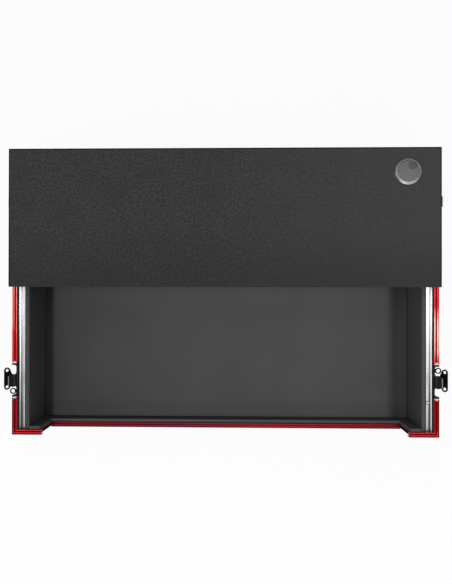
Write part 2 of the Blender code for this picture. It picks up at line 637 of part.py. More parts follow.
def latch_dish():
    """A pressed recess, open at the rim, with a flange, guide ribs for the hook and a padlock eye."""
    flange_in = SKIN_X + GAP - HALF_W
    pan = -DISH_DEPTH
    low = dish_bottom() - RIM + ROTOR_DROP
    half = DISH_W / 2
    side = LATCH_GAP / 2 - GAP
    dish = box("dish", (flange_in, -side, low - DISH_FLANGE), (flange_in + DISH_WALL, side, ROTOR_DROP),
               "black_steel")
    dish.data.transform(Matrix.Translation(dish.location))
    dish.location = (0, 0, 0)
    shell = cutter_box("shell", (pan - DISH_WALL, -half - DISH_WALL, low - DISH_WALL),
                       (flange_in + DISH_WALL, half + DISH_WALL, ROTOR_DROP))
    hollow = cutter_box("hollow", (pan, -half, low), (pan + 4 * DISH_DEPTH, half, 2 * ROTOR_DROP))
    bevel(hollow, DISH_ROUND, segments=3)
    join(dish, shell)
    cut(dish, hollow)
    cut(dish, cylinder("shaft_hole", SHAFT_R + GAP, 6 * DISH_WALL, (pan, 0, 0), "x", "black_paint",
                       facets=24, where=CUTTERS))
    for way in (-1, 1):
        edge = HOOK_NECK_W / 2 + 2 * GAP
        y = sorted((way * edge, way * (edge + GUIDE_W)))
        join(dish, cutter_box("guide", (pan - DISH_WALL / 2, y[0], ROTOR_DROP - GUIDE_DROP - GUIDE_H),
                              (pan + HOOK_T + 3 * GAP, y[1], ROTOR_DROP - GUIDE_DROP)))
    eye_top = ROTOR_DROP - EYE_DROP
    eye_mid = eye_top - EYE_T / 2
    root = cutter_box("eye_root", (pan - DISH_WALL / 2, EYE_SIDE - EYE_HOLE_R, eye_top - EYE_T),
                      (-EYE_OUT - EYE_HOLE_R - EYE_ROOT_END, EYE_SIDE + EYE_HOLE_R, eye_top))
    ring = cylinder("eye_ring", EYE_R, EYE_T, (-EYE_OUT, EYE_SIDE, eye_mid), "z", "black_steel", facets=28,
                    where=CUTTERS)
    hole = cylinder("eye_hole", EYE_HOLE_R, 3 * EYE_T, (-EYE_OUT, EYE_SIDE, eye_mid), "z", "black_steel",
                    facets=24, where=CUTTERS)
    cut(ring, hole)
    join(dish, root, ring)
    return finished_mesh(dish)


def hook_levels():
    """How far the hook plate's two faces and the rotor disc's two faces lie from the trim's outer plane."""
    hook_in = -DISH_DEPTH + GAP
    hook_out = hook_in + HOOK_T
    return hook_in, hook_out, hook_out + GAP, hook_out + GAP + ROTOR_T


def latch_rotor():
    """A disc with a cam and a riveted shaft behind it, and a post in front that carries the wing."""
    hook_in, _, disc_in, disc_out = hook_levels()
    rotor = cylinder("rotor", ROTOR_R, ROTOR_T, ((disc_in + disc_out) / 2, 0, 0), "x", "black_steel",
                     facets=36)
    rotor.data.transform(Matrix.Translation(rotor.location))
    rotor.location = (0, 0, 0)
    cam = cylinder("cam", CAM_R, disc_in - hook_in + ROTOR_T / 2,
                   ((disc_in + hook_in + ROTOR_T / 2) / 2, 0, CAM_THROW), "x", "black_steel", facets=28,
                   where=CUTTERS)
    shaft_end = -DISH_DEPTH - DISH_WALL * 0.8
    shaft = cylinder("shaft", SHAFT_R, disc_in - shaft_end, ((disc_in + shaft_end) / 2, 0, 0), "x",
                     "black_steel", facets=20, where=CUTTERS)
    hinge = (WING_PROUD, 0, 0)
    stem = cutter_box("stem", (disc_out - ROTOR_T / 2, -POST_W / 2, -POST_R),
                      (WING_PROUD, POST_W / 2, POST_R))
    post = cylinder("post", POST_R, POST_W, hinge, "y", "black_steel", facets=20, where=CUTTERS)
    join(rotor, cam, shaft, stem, post)
    cut(rotor, cylinder("pin_hole", PIN_R + GAP, 3 * POST_W, hinge, "y", "black_steel", facets=16,
                        where=CUTTERS))
    return finished_mesh(rotor)


def latch_hook():
    """A plate with a window round the cam, a narrow neck and a claw that leans outwards at its top."""
    hook_in, hook_out, _, _ = hook_levels()
    window = CAM_R + CAM_SLACK
    low = CAM_THROW - window - HOOK_FOOT
    shoulder = CAM_THROW + window + HOOK_SHOULDER
    bend = ROTOR_DROP + HOOK_BEND
    top = ROTOR_DROP + HOOK_RISE
    steps = (0, 0.3, 0.6, 1)
    lean = [(HOOK_REACH * math.sin(t * math.pi / 2), bend + (top - bend) * t) for t in steps]
    side_view = [(hook_in, low), (hook_out, low)]
    side_view += [(hook_out + x, z) for x, z in lean]
    side_view += [(hook_in + x, z) for x, z in reversed(lean)]
    hook = prism("hook", side_view, 2 * HOOK_BASE_W, "black_steel")
    half_base, half_neck, half_top = HOOK_BASE_W / 2, HOOK_NECK_W / 2, HOOK_TOP_W / 2
    right_edge = [(half_base, low - HOOK_T), (half_base, shoulder - HOOK_SLOPE), (half_neck, shoulder),
                  (half_neck, bend), (half_top, top), (half_top, top + HOOK_T)]
    front_view = right_edge + [(-y, z) for y, z in reversed(right_edge)]
    blank = prism("hook_blank", front_view, 6 * DISH_DEPTH, "black_steel", "yz", CUTTERS)
    boolean(hook, blank, "INTERSECT")
    half_window = CAM_R + CAM_THROW + 2 * GAP
    window_cut = cutter_box("cam_window", (2 * hook_in, -half_window, CAM_THROW - window),
                            (-hook_in, half_window, CAM_THROW + window))
    bevel(window_cut, WINDOW_ROUND)
    cut(hook, window_cut)
    return finished_mesh(hook)


def wing_outline():
    """Butterfly shape: a neck from the hinge, then two round ears joined by a straight tip."""
    half = WING_NECK_W / 2
    ear_x = WING_LEN - WING_EAR_R
    neck_end = ear_x - WING_NECK_END
    arc = [math.radians(a) for a in range(210, 361, 15)]
    lower = [(ear_x + WING_EAR_R * math.cos(a), -WING_EAR_SPREAD + WING_EAR_R * math.sin(a)) for a in arc]
    lower = [(0, -half), (neck_end, -half), *lower]
    return lower + [(x, -y) for x, y in reversed(lower)]


def latch_wing():
    """The wing, drawn straight out with its origin on its hinge; its knuckles carry the hinge pin."""
    wing = prism("wing", wing_outline(), WING_T, "black_steel", "xy")
    for way in (-1, 1):
        cut(wing, cylinder("ear_hole", WING_HOLE_R, 4 * WING_T,
                           (WING_LEN - WING_EAR_R, way * WING_EAR_SPREAD, 0), "z", "black_steel", facets=20,
                           where=CUTTERS))
    slot = POST_W / 2 + GAP
    cut(wing, cutter_box("post_slot", (-POST_R, -slot, -WING_T), (POST_R + 2 * GAP, slot, WING_T)))
    knuckle_w = WING_NECK_W / 2 - slot
    for way in (-1, 1):
        join(wing, cylinder("knuckle", KNUCKLE_R, knuckle_w, (0, way * (slot + knuckle_w / 2), 0), "y",
                            "black_steel", facets=18, where=CUTTERS))
    join(wing, cylinder("pin", PIN_R, 2 * slot + knuckle_w, (0, 0, 0), "y", "black_steel", facets=12,
                        where=CUTTERS))
    return finished_mesh(wing)


def latches():
    """Four alike: the left-hand ones are turned half round.

    The front pair's wings stand out and up, and the rear pair's hang folded flat.
    """
    dish, rotor, hook, wing = latch_dish(), latch_rotor(), latch_hook(), latch_wing()
    for side, word in ((-1, "left"), (1, "right")):
        turn = 0 if side > 0 else math.pi
        for end, end_word in ((-1, "front"), (1, "rear")):
            at = (side * HALF_W, end * LATCH_Y, RIM - ROTOR_DROP)
            for mesh, kind in ((dish, "dish"), (rotor, "rotor"), (hook, "hook")):
                piece = mesh_object(f"{end_word}_{word}_latch_{kind}", mesh, "black_steel")
                piece.location = at
                piece.rotation_euler.z = turn
            piece = mesh_object(f"{end_word}_{word}_latch_wing", wing, "black_steel")
            piece.location = Vector(at) + Vector((side * WING_PROUD, 0, 0))
            piece.rotation_euler = (0, math.pi / 2 if end > 0 else -math.radians(WING_LIFT), turn)


clear_scene()
PARTS = new_collection("dj_controller_flight_case")
CUTTERS = new_collection("cutters")
shell_panels()
rim_trims()
edge_angles()
corners_and_feet()
lining()
slide_way()
laptop_platform()
cable_grommet()
latches()
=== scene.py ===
import math

import bmesh
import bpy
from mathutils import Matrix, Vector, noise


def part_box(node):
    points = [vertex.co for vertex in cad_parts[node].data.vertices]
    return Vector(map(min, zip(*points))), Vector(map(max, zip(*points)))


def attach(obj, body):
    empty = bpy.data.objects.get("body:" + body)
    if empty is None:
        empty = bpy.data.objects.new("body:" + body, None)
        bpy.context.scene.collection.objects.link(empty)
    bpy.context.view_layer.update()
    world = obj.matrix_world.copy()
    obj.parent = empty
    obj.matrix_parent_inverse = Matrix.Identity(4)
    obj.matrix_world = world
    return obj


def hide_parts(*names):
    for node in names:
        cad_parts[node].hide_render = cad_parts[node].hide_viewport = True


bl_info = {
    "name": "DJ controller flight case finishes",
    "version": (1, 0, 0),
    "blender": (4, 5, 0),
    "location": "3D View > Sidebar > Flight Case",
    "description": "Dresses the flight case base with its foams, felt, fasteners and surface finishes",
    "category": "Object",
}

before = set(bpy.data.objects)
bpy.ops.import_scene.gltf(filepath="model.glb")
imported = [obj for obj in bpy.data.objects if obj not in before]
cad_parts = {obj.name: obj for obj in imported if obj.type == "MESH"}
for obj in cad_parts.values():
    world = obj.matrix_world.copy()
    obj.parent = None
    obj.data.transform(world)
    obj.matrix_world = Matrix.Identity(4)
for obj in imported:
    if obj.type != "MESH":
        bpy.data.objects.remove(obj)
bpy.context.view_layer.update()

MM = 0.001
X, Y, Z = range(3)
SIDES = (("left", -1), ("right", 1))
ENDS = (("front", -1), ("back", 1))
CORNERS = [(end, way, side, sign) for end, way in ENDS for side, sign in SIDES]
LATCHES = [f"{end}_{side}" for side, _ in SIDES for end in ("front", "rear")]

# The camera looks almost straight down from above the case, as the photograph does.
CAMERA_AT = (0.0271, -0.0033, 1.1394)
CAMERA_TURN = (0.2081, 1.3031, 0.0864)  # degrees
CAMERA_LENS = 34.243  # mm, on a sensor 36 mm high
CAMERA_SENSOR = 36

# Each soft light: its name, place, width and height, and the setting that holds its power.
LAMPS = (
    ("overhead_light", (0.2, 0.2, 2.4), (1.6, 1.6), "overhead_power"),
    ("left_light", (-2.4, -0.4, 1.2), (1.4, 1.4), "side_power"),
    ("front_light", (0.3, -2.8, 2.15), (3.6, 0.65), "front_power"),
)
FLOOR_GLOW = 0.91  # share of the floor's white that its shadows don't touch
FLOOR_BELOW_FEET = 0.05 * MM

# Sizes that the fasteners and strips share with the case's own parts.
RAIL_WALL = 1.2 * MM
FOOT_CUP_H = 5.3 * MM
DISH_FACE_IN = 0.2 * MM  # dish flange inside the trim's outer face
LEAF_PROUD = 1.7 * MM  # ball corner's leaves beyond the edge angles
LEAF_RIVET_IN = 20.5 * MM  # rivet from the corner's tip, along each leaf edge
TRIM_RIVET_DROP = 7 * MM  # below the rim
TRIM_RIVET_END = 9 * MM
REAR_RIVET_END = 30 * MM
ANGLE_RIVET_IN = 13.5 * MM  # from the angle's outer corner
ANGLE_RIVET_END = 26 * MM
CORNER_RIVETS_UP = 20 * MM  # above the corner angle's lower end
CORNER_RIVETS_DOWN = 12 * MM  # below its upper end
LATCH_RIVET_SPREAD = 20 * MM
LATCH_RIVET_UP = 4 * MM  # above the dish's lower edge
GROOVE_FROM_EDGE = 5.85 * MM  # middle of the trim's deep groove, from its outer face
FELT_ABOVE_RAIL = 0.25 * MM
FELT_BELOW_RIM = 0.8 * MM
FELT_GLUE = 0.05 * MM
SCREW_PROUD = 0.2 * MM
FOOT_SCREW_RISE = 2.2 * MM
FOOT_SCREW_SUNK = 0.1 * MM  # its seat inside the foot's cup
HEAD_TURN = 0.9  # radians from one fastener's head to the next
RAIL_SCREWS = {"left": (0.03, 0.2), "right": (-0.2045, 0.03, 0.2)}  # along the case; the front left has none

# The widest gaps between neighbouring rivets.
SIDE_RIVETS_APART = 130 * MM
REAR_RIVETS_APART = 150 * MM
SILL_RIVETS_APART = 140 * MM
ANGLE_RIVETS_APART = 150 * MM

# Sizes of the faces that the foams and the felt are divided into.
WALL_FOAM_GRID = 9 * MM
FLOOR_FOAM_GRID = 12 * MM
FELT_GRID = 7 * MM

SHADED_SHARP = math.radians(35)  # edges that turn by more are shaded as sharp
KNIFE_CUT = math.radians(40)  # edges that turn by more are rounded on the foams
# Grey of the painted shade on the rails, towards their front and on their outer walls.
RAIL_PAINTED_SHADE = (0.11, 0.11, 0.112)

# The span of the floor foam painted lit between the painted shadows of its side walls, and the widths of
# those shadows' soft edges.
LIT_FLOOR_LEFT = -345 * MM
LIT_FLOOR_RIGHT = 329 * MM
SHADOW_EDGE_LEFT = 9 * MM
SHADOW_EDGE_RIGHT = 16 * MM


def colour(name, description, default):
    return bpy.props.FloatVectorProperty(
        name=name, description=description, subtype="COLOR", default=default, min=0, max=1)


def length(name, description, default, least, most):
    """A length setting, given in millimetres."""
    return bpy.props.FloatProperty(name=name, description=description, default=default * MM,
                                   min=least * MM, max=most * MM, unit="LENGTH")


def power(name, description, default):
    return bpy.props.FloatProperty(name=name, description=description, default=default, min=0, unit="POWER")


class FlightCaseFinish(bpy.types.PropertyGroup):
    """Colours and small sizes of the case's finishes and fasteners."""
    trim_red: colour("Trim red", "Anodised colour of the trim and the edge angles", (0.34, 0.001, 0.009))
    foam_grey: colour("Foam grey", "Colour of the closed-cell foam lining", (0.072, 0.072, 0.073))
    textile_black: colour("Textile black", "Colour of the platform's covering", (0.046, 0.046, 0.0465))
    laminate_black: colour("Laminate black", "Colour of the panels' laminate", (0.014, 0.014, 0.015))
    steel_black: colour("Steel black", "Coating of the latches and corners", (0.004, 0.004, 0.0042))
    grommet_grey: colour("Grommet grey", "Moulded plastic of the cable grommet", (0.128, 0.128, 0.130))
    rivet_head: length("Rivet head", "Diameter of a rivet's domed head", 6.4, 2, 12)
    screw_head: length("Screw head", "Diameter of a rail screw's countersunk head", 5.6, 2, 10)
    foam_rounding: length("Foam rounding", "Radius of the foam's knife-cut edges", 1.1, 0.2, 3)
    foam_unevenness: length("Foam unevenness", "How far the foam's faces lie below flat", 0.45, 0, 2)
    felt_thickness: length("Felt thickness", "Felt strip on the trim above a rail", 0.7, 0.2, 0.8)


class FlightCaseStudio(bpy.types.PropertyGroup):
    """Light and floor of the plain studio."""
    overhead_power: power("Overhead power", "Power of the soft light above the case", 17)
    side_power: power("Side power", "Power of the soft light on the left", 11)
    front_power: power("Front power", "Power of the soft light at the front", 29)
    sky_strength: bpy.props.FloatProperty(
        name="Sky strength", description="Strength of the light from all round", default=0.45, min=0, max=1)
    floor_white: colour("Floor white", "Colour of the floor and of the background", (0.92, 0.92, 0.92))
    floor_size: bpy.props.FloatProperty(
        name="Floor size", description="Length of the square floor's sides", default=12, unit="LENGTH")


def feed(tree, node, inputs):
    """Links each input that is given as another node's output, and sets the others."""
    for key, value in inputs.items():
        if isinstance(value, bpy.types.NodeSocket):
            tree.links.new(value, node.inputs[key])
        else:
            node.inputs[key].default_value = value


def add_node(tree, kind, inputs, **settings):
    """A new node with its own settings, its inputs fed from other nodes or from plain values."""
    made = tree.nodes.new(kind)
    for key, value in settings.items():
        setattr(made, key, value)
    feed(tree, made, inputs)
    return made


class Coat:
    """A node material being built round one Principled shader."""

    def __init__(self, name):
        self.look = bpy.context.scene.flight_case_finish
        self.material = bpy.data.materials.new(name)
        self.material.use_nodes = True
        self.tree = self.material.node_tree
        self.shader = self.tree.nodes["Principled BSDF"]
        self.place = self.node("ShaderNodeTexCoord", {}).outputs["Object"]

    def node(self, kind, inputs, **settings):
        return add_node(self.tree, kind, inputs, **settings)

    def set(self, **inputs):
        """Sets or links the shader's sockets, with spaces in their names written as underscores."""
        feed(self.tree, self.shader, {key.replace("_", " "): value for key, value in inputs.items()})

    def grain(self, size, detail=3, stretch=(1, 1, 1), rough=0.55):
        """Noise with features about a size in millimetres across, drawn out along an axis by stretch."""
        scaled = self.node("ShaderNodeMapping", {"Vector": self.place, "Scale": [1 / s for s in stretch]})
        return self.node("ShaderNodeTexNoise", {
            "Vector": scaled.outputs[0], "Scale": 1 / (size * MM), "Detail": detail, "Roughness": rough,
        }).outputs["Fac"]

    def cells(self, size):
        """How far a point lies from the nearest of scattered centres, about a size in millimetres apart."""
        inputs = {"Vector": self.place, "Scale": 1 / (size * MM)}
        return self.node("ShaderNodeTexVoronoi", inputs).outputs["Distance"]

    def maths(self, operation, *values):
        return self.node("ShaderNodeMath", dict(enumerate(values)), operation=operation).outputs[0]

    def plus(self, first, second):
        return self.maths("ADD", first, second)

    def minus(self, first, second):
        return self.maths("SUBTRACT", first, second)

    def most(self, first, second):
        return self.maths("MAXIMUM", first, second)

    def times(self, product, *factors):
        for factor in factors:
            product = self.maths("MULTIPLY", product, factor)
        return product

    def off(self, value, middle):
        """How far a value lies from a middle one, either way."""
        return self.maths("ABSOLUTE", self.minus(value, middle))

    def between(self, value, low, high, to_low=0.0, to_high=1.0):
        """A value stretched from one range to another, and kept inside it."""
        return self.node("ShaderNodeMapRange", {
            "Value": value, "From Min": low, "From Max": high, "To Min": to_low, "To Max": to_high,
        }).outputs[0]

    def spread(self, grain, to_low=0.0, to_high=1.0):
        """A noise, whose values lie mostly between 0.3 and 0.7, stretched to a range."""
        return self.between(grain, 0.3, 0.7, to_low, to_high)

    def along(self, axis, mirrored=False):
        """Place along an axis in metres, or distance from the middle plane where mirrored."""
        place = self.node("ShaderNodeSeparateXYZ", {0: self.place}).outputs[axis]
        return self.maths("ABSOLUTE", place) if mirrored else place

    def ramp(self, axis, low, high, to_low=0.0, to_high=1.0):
        """A value that changes between two places on an axis, and stays the same beyond them."""
        return self.between(self.along(axis), low, high, to_low, to_high)

    def distance(self, point):
        """How far a place is from a point, in metres."""
        apart = self.node("ShaderNodeVectorMath", {0: self.place, 1: point}, operation="DISTANCE")
        return apart.outputs["Value"]

    def facing(self, axis):
        """How squarely the surface faces along an axis, either way, in the frame's own directions."""
        normal = self.node("ShaderNodeTexCoord", {}).outputs["Normal"]
        return self.maths("ABSOLUTE", self.node("ShaderNodeSeparateXYZ", {0: normal}).outputs[axis])

    def blend(self, factor, first, second):
        """Two colours, each a tuple or an output, mixed by a factor."""
        ends = [end if isinstance(end, bpy.types.NodeSocket) else (*end, 1) for end in (first, second)]
        return self.node("ShaderNodeMix", {0: factor, 6: ends[0], 7: ends[1]}, data_type="RGBA").outputs[2]

    def rounded(self, radius):
        """The surface's normal, with edges rounded by a radius in millimetres."""
        return self.node("ShaderNodeBevel", {"Radius": radius * MM}, samples=4).outputs[0]

    def edges(self, radius):
        """1 on the solid's edges and 0 on its flats, from how far a rounded normal leans."""
        flat = self.node("ShaderNodeNewGeometry", {}).outputs["Normal"]
        lean = self.node("ShaderNodeVectorMath", {0: self.rounded(radius), 1: flat}, operation="DOT_PRODUCT")
        return self.between(lean.outputs["Value"], 0.98, 0.7)

    def recess(self, reach):
        """1 deep inside grooves and corners no wider than a reach in millimetres, and 0 on open faces."""
        inputs = {"Distance": reach * MM}
        open_share = self.node("ShaderNodeAmbientOcclusion", inputs, samples=6, only_local=True)
        return self.between(open_share.outputs["AO"], 0.80, 0.35)

    def relief(self, height, depth, radius=None, normal=None):
        """Bump of a depth in millimetres, over edges rounded by a radius or over a normal that is given."""
        inputs = {"Height": height, "Distance": depth * MM, "Strength": 1.0}
        if radius or normal:
            inputs["Normal"] = normal or self.rounded(radius)
        self.set(Normal=self.node("ShaderNodeBump", inputs).outputs[0])


def darker(tone, share):
    """A colour scaled by a share, which is paler where the share is over 1."""
    return tuple(part * share for part in tone)


def anodised_trim(coat, top, wear_and_shine):
    """Satin red anodising with bare sawn ends at the latches, painted shade in its grooves, on its upward
    faces and over its outer band at the front, and painted highlights on its lips at the top height.
    """
    trim_red = coat.look.trim_red
    lines = coat.grain(0.35, stretch=(1, 60, 1))
    cloud = coat.grain(40)
    from_edge = outside_trim(coat)
    on_right = coat.ramp(X, 0.0, 10 * MM)
    upward = coat.facing(Z)
    red = coat.blend(coat.spread(cloud), trim_red, darker(trim_red, 0.85))
    # Painted shade in the grooves, darker on the left trim than on the right.
    groove = coat.blend(on_right, darker(trim_red, 0.12), darker(trim_red, 0.55))
    red = coat.blend(coat.recess(3), red, groove)
    # Painted shade on the upward faces, the more where the shine given is low, as on the cut-out trim.
    red = coat.blend(coat.times(upward, 1 - wear_and_shine), red, (0.080, 0.012, 0.020))
    # Painted shade on the outer band of the upward faces, growing towards the front.
    outer_band = coat.between(from_edge, -2.2 * MM, -1.8 * MM)
    front_outer_shade = coat.times(outer_band, coat.ramp(Y, -120 * MM, -190 * MM, 0.0, 0.75), upward)
    red = coat.blend(front_outer_shade, red, darker(trim_red, 0.2))
    # Painted highlights on the lips at the top height: brightest at the rear of the side trims and on the
    # front bars, fading forwards, shifted along the right trim, and scaled by the shine given.
    shifted = coat.between(coat.off(coat.along(Y), -85 * MM), 28 * MM, 62 * MM, 0.60, -0.4)
    beside = coat.plus(coat.ramp(Y, -200 * MM, -15 * MM, 0.10, 0.88), coat.times(on_right, shifted))
    across_front = coat.ramp(Y, -254 * MM, -257 * MM, 0.0, 0.42)
    streaks = coat.grain(9, detail=5, stretch=(1, 5, 1), rough=0.7)
    rubbed_and_lit = coat.times(
        coat.most(beside, across_front),
        coat.between(streaks, 0.30, 0.62, 0.55, 1.0),
        wear_and_shine,
        coat.ramp(Z, top - 0.9 * MM, top - 0.3 * MM),
        coat.between(coat.off(from_edge, -GROOVE_FROM_EDGE), 1.4 * MM, 1.8 * MM),
        coat.between(front_outer_shade, 0.0, 0.75, 1.0, 0.0),
    )
    highlighted_red = coat.blend(coat.between(rubbed_and_lit, 0.0, 0.5), red, (0.78, 0.05, 0.05))
    highlighted_red = coat.blend(coat.between(rubbed_and_lit, 0.5, 1.0), highlighted_red, (0.95, 0.52, 0.43))
    highlighted_red = coat.blend(sawn_ends(coat), highlighted_red, (0.66, 0.64, 0.55))
    coat.set(Base_Color=highlighted_red, Metallic=1.0, Roughness=coat.spread(lines, 0.26, 0.40))
    coat.relief(lines, 0.02, radius=0.35)


def outside_trim(coat):
    """How far a point lies beyond the trim's outer faces, below 0 on the trim itself."""
    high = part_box("rear_trim")[1]
    from_side = coat.minus(coat.along(X, mirrored=True), high.x)
    from_end = coat.minus(coat.along(Y, mirrored=True), high.y)
    return coat.most(from_side, from_end)


def sawn_ends(coat):
    """1 on the few millimetres beside each latch where the saw and the file bared the aluminium."""
    low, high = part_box("left_middle_trim")
    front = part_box("left_front_trim")[1].y
    from_latch = coat.off(coat.along(Y, mirrored=True), abs(low.y + front) / 2)
    from_end = coat.minus(from_latch, (low.y - front) / 2)
    across = coat.off(coat.along(X, mirrored=True), abs(low.x + high.x) / 2)
    wedge = coat.plus(from_end, coat.times(across, 0.8))
    ragged = coat.plus(wedge, coat.times(coat.grain(1.2), 1.2 * MM))
    return coat.between(ragged, 5.0 * MM, 4.2 * MM)


def anodised_angle(coat):
    """The same red on the rolled angles, with scuffs where they meet the floor."""
    scuffs = coat.grain(0.8, detail=5, stretch=(6, 6, 1), rough=0.7)
    low_down = coat.ramp(Z, 30 * MM, 11 * MM)
    scuffed = coat.times(coat.between(scuffs, 0.56, 0.66), low_down)
    marked = coat.times(coat.most(coat.edges(0.5), scuffed), 0.4)
    coat.set(
        Base_Color=coat.blend(marked, coat.look.trim_red, (0.60, 0.20, 0.20)), Metallic=1.0,
        Coat_Weight=0.06, Coat_Roughness=0.25, Roughness=coat.between(scuffs, 0.35, 0.65, 0.26, 0.42),
    )
    coat.relief(scuffs, 0.03, radius=0.5)


def bare_aluminium(coat):
    """Mill-finished channel: drawn lines along it, with painted shade in its corners, round its screws, on
    its top edges and towards the front.
    """
    low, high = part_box("left_rail")
    drawn = coat.grain(0.3, stretch=(1, 80, 1), rough=0.7)
    dull = coat.grain(25, stretch=(1, 6, 1))
    across = coat.along(X, mirrored=True)
    tone = coat.blend(coat.between(dull, 0.35, 0.7), (0.91, 0.91, 0.92), (0.78, 0.78, 0.79))
    # Painted shade: the outer half of each rail darkens towards the front.
    outer_half = coat.between(across, -high.x + 5 * MM, -low.x - 3 * MM, 0.35, 1.25)
    rail_front_shade = coat.times(coat.ramp(Y, -35 * MM, -235 * MM), outer_half)
    tone = coat.blend(rail_front_shade, tone, RAIL_PAINTED_SHADE)
    standing, wall = rail_wall(coat, across)
    tone = coat.blend(standing, tone, wall)
    # Painted shade on the rail's top edges, on the outer lip more towards the front.
    top = coat.ramp(Z, high.z - 0.5 * MM, high.z - 0.2 * MM)
    on_outer = coat.between(across, -low.x - 4 * MM, -low.x - 3 * MM)
    lip_shade = coat.between(on_outer, 0.0, 1.0, 0.75, 0.0)
    lip_shade = coat.most(coat.ramp(Y, 0.0, -110 * MM, 0.0, 0.95), lip_shade)
    tone = coat.blend(coat.times(lip_shade, top), tone, (0.030, 0.031, 0.031))
    # Painted shade in the corner at the wall's foot and round the screws.
    tone = coat.blend(rail_corner_shade(coat, across), tone, (0.06, 0.06, 0.061))
    coat.set(Base_Color=tone, Metallic=1.0, Roughness=coat.spread(drawn, 0.28, 0.46))
    # The outer wall's upright face is shaded as if it leaned upwards, so that it shows the light from above.
    inputs = {0: standing, 1: (0, 0, 2), 2: coat.rounded(2.6)}
    leaning = coat.node("ShaderNodeVectorMath", inputs, operation="MULTIPLY_ADD").outputs[0]
    normal = coat.node("ShaderNodeVectorMath", {0: leaning}, operation="NORMALIZE").outputs[0]
    coat.relief(drawn, 0.03, normal=normal)


def rail_wall(coat, across):
    """1 on the inner face of the rail's outer wall, and that wall's colour, with painted shade on its upper
    part and towards the front, half as strong on the right rail.
    """
    low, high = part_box("left_rail")
    standing = coat.between(coat.off(across, -low.x - RAIL_WALL), 0.10 * MM, 0.05 * MM)
    # Painted shade on the wall's upper part and towards the front, half as strong on the right rail.
    upper = coat.ramp(Z, high.z - 2.6 * MM, high.z - 1.6 * MM)
    upper = coat.times(upper, coat.ramp(Y, -40 * MM, -100 * MM, 0.0, 0.9))
    wall_shade = coat.most(coat.ramp(Y, -60 * MM, -230 * MM, 0.0, 0.85), upper)
    wall_shade = coat.times(wall_shade, coat.ramp(X, 0.0, 10 * MM, 1.0, 0.5))
    return standing, coat.blend(wall_shade, (0.95, 0.95, 0.95), RAIL_PAINTED_SHADE)


def rail_corner_shade(coat, across):
    """How much painted shade lies in the foot of the rail's outer wall and round its screws."""
    low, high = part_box("left_rail")
    from_corner = coat.off(across, -low.x - RAIL_WALL - 1.5 * MM)
    near_floor = coat.ramp(Z, low.z + 2.2 * MM, low.z + 1.6 * MM)
    foot_shade = coat.times(coat.between(from_corner, 0.5 * MM, 0.9 * MM, 0.85, 0.0), near_floor)
    for side, sign in SIDES:
        for at in RAIL_SCREWS[side]:
            from_screw = coat.distance((sign * (low.x + high.x) / -2, at, low.z + RAIL_WALL))
            ring = coat.off(from_screw, coat.look.screw_head / 2 + 0.5 * MM)
            foot_shade = coat.most(foot_shade, coat.between(ring, 0.45 * MM, 0.75 * MM, 0.9, 0.0))
    return foot_shade


def laminate(coat):
    """Black laminate with the fine pebbled print of case boards, scuffed grey here and there."""
    black = coat.look.laminate_black
    pebbles = coat.cells(1.3)
    scuffs = coat.grain(2.2, detail=6, stretch=(1, 1, 0.35), rough=0.75)
    cloud = coat.grain(60)
    scuffed = coat.times(coat.between(scuffs, 0.60, 0.68), coat.between(cloud, 0.45, 0.65), 0.25)
    tone = coat.blend(scuffed, black, (0.09, 0.09, 0.09))
    tone = coat.blend(coat.between(pebbles, 0.0, 0.7, 0.0, 0.3), tone, darker(black, 0.5))
    sawn = sawn_sill_ends(coat)
    tone = coat.blend(sawn, tone, darker(black, 0.25))
    inner_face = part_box("front_panel")[1].y
    lip = coat.ramp(Y, inner_face - 1.6 * MM, inner_face - 1.2 * MM)
    tone = coat.blend(coat.times(sawn, lip), tone, (0.16, 0.02, 0.03))
    coat.set(
        Base_Color=tone, Specular_IOR_Level=coat.between(sawn, 0.0, 1.0, 0.18, 0.0),
        Roughness=coat.spread(cloud, 0.42, 0.55),
    )
    coat.relief(pebbles, 0.12, radius=0.6)


def sawn_sill_ends(coat):
    """1 on the upright ends of the front panel's cut-out, which are painted matt black over the saw cut."""
    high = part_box("front_panel")[1]
    at_front = coat.ramp(Y, high.y + 0.1 * MM, high.y + 0.05 * MM)
    inboard = coat.between(coat.along(X, mirrored=True), high.x - 5 * MM, high.x - 6 * MM)
    return coat.times(coat.between(coat.facing(X), 0.8, 0.9), inboard, at_front)


def closed_cell_foam(coat, painted_light):
    """Dense grey foam: fine open pores on its knife-cut skin, slow shifts of tone, and the painted light and
    shade that the given function adds.
    """
    grey = coat.look.foam_grey
    pores = coat.cells(0.9)
    fine = coat.grain(0.5, detail=5, rough=0.7)
    cloud = coat.grain(90, detail=2)
    tone = coat.blend(coat.spread(cloud), grey, darker(grey, 0.88))
    tone = coat.blend(coat.between(pores, 0.0, 0.55, 0.30, 0.0), tone, darker(grey, 0.45))
    tone = coat.blend(coat.between(fine, 0.5, 0.8, 0.0, 0.25), tone, (0.13, 0.13, 0.132))
    tone = painted_light(coat, grey, tone)
    coat.set(Base_Color=tone, Roughness=coat.spread(fine, 0.86, 0.97), Specular_IOR_Level=0.02)
    coat.relief(coat.plus(pores, fine), 0.10)


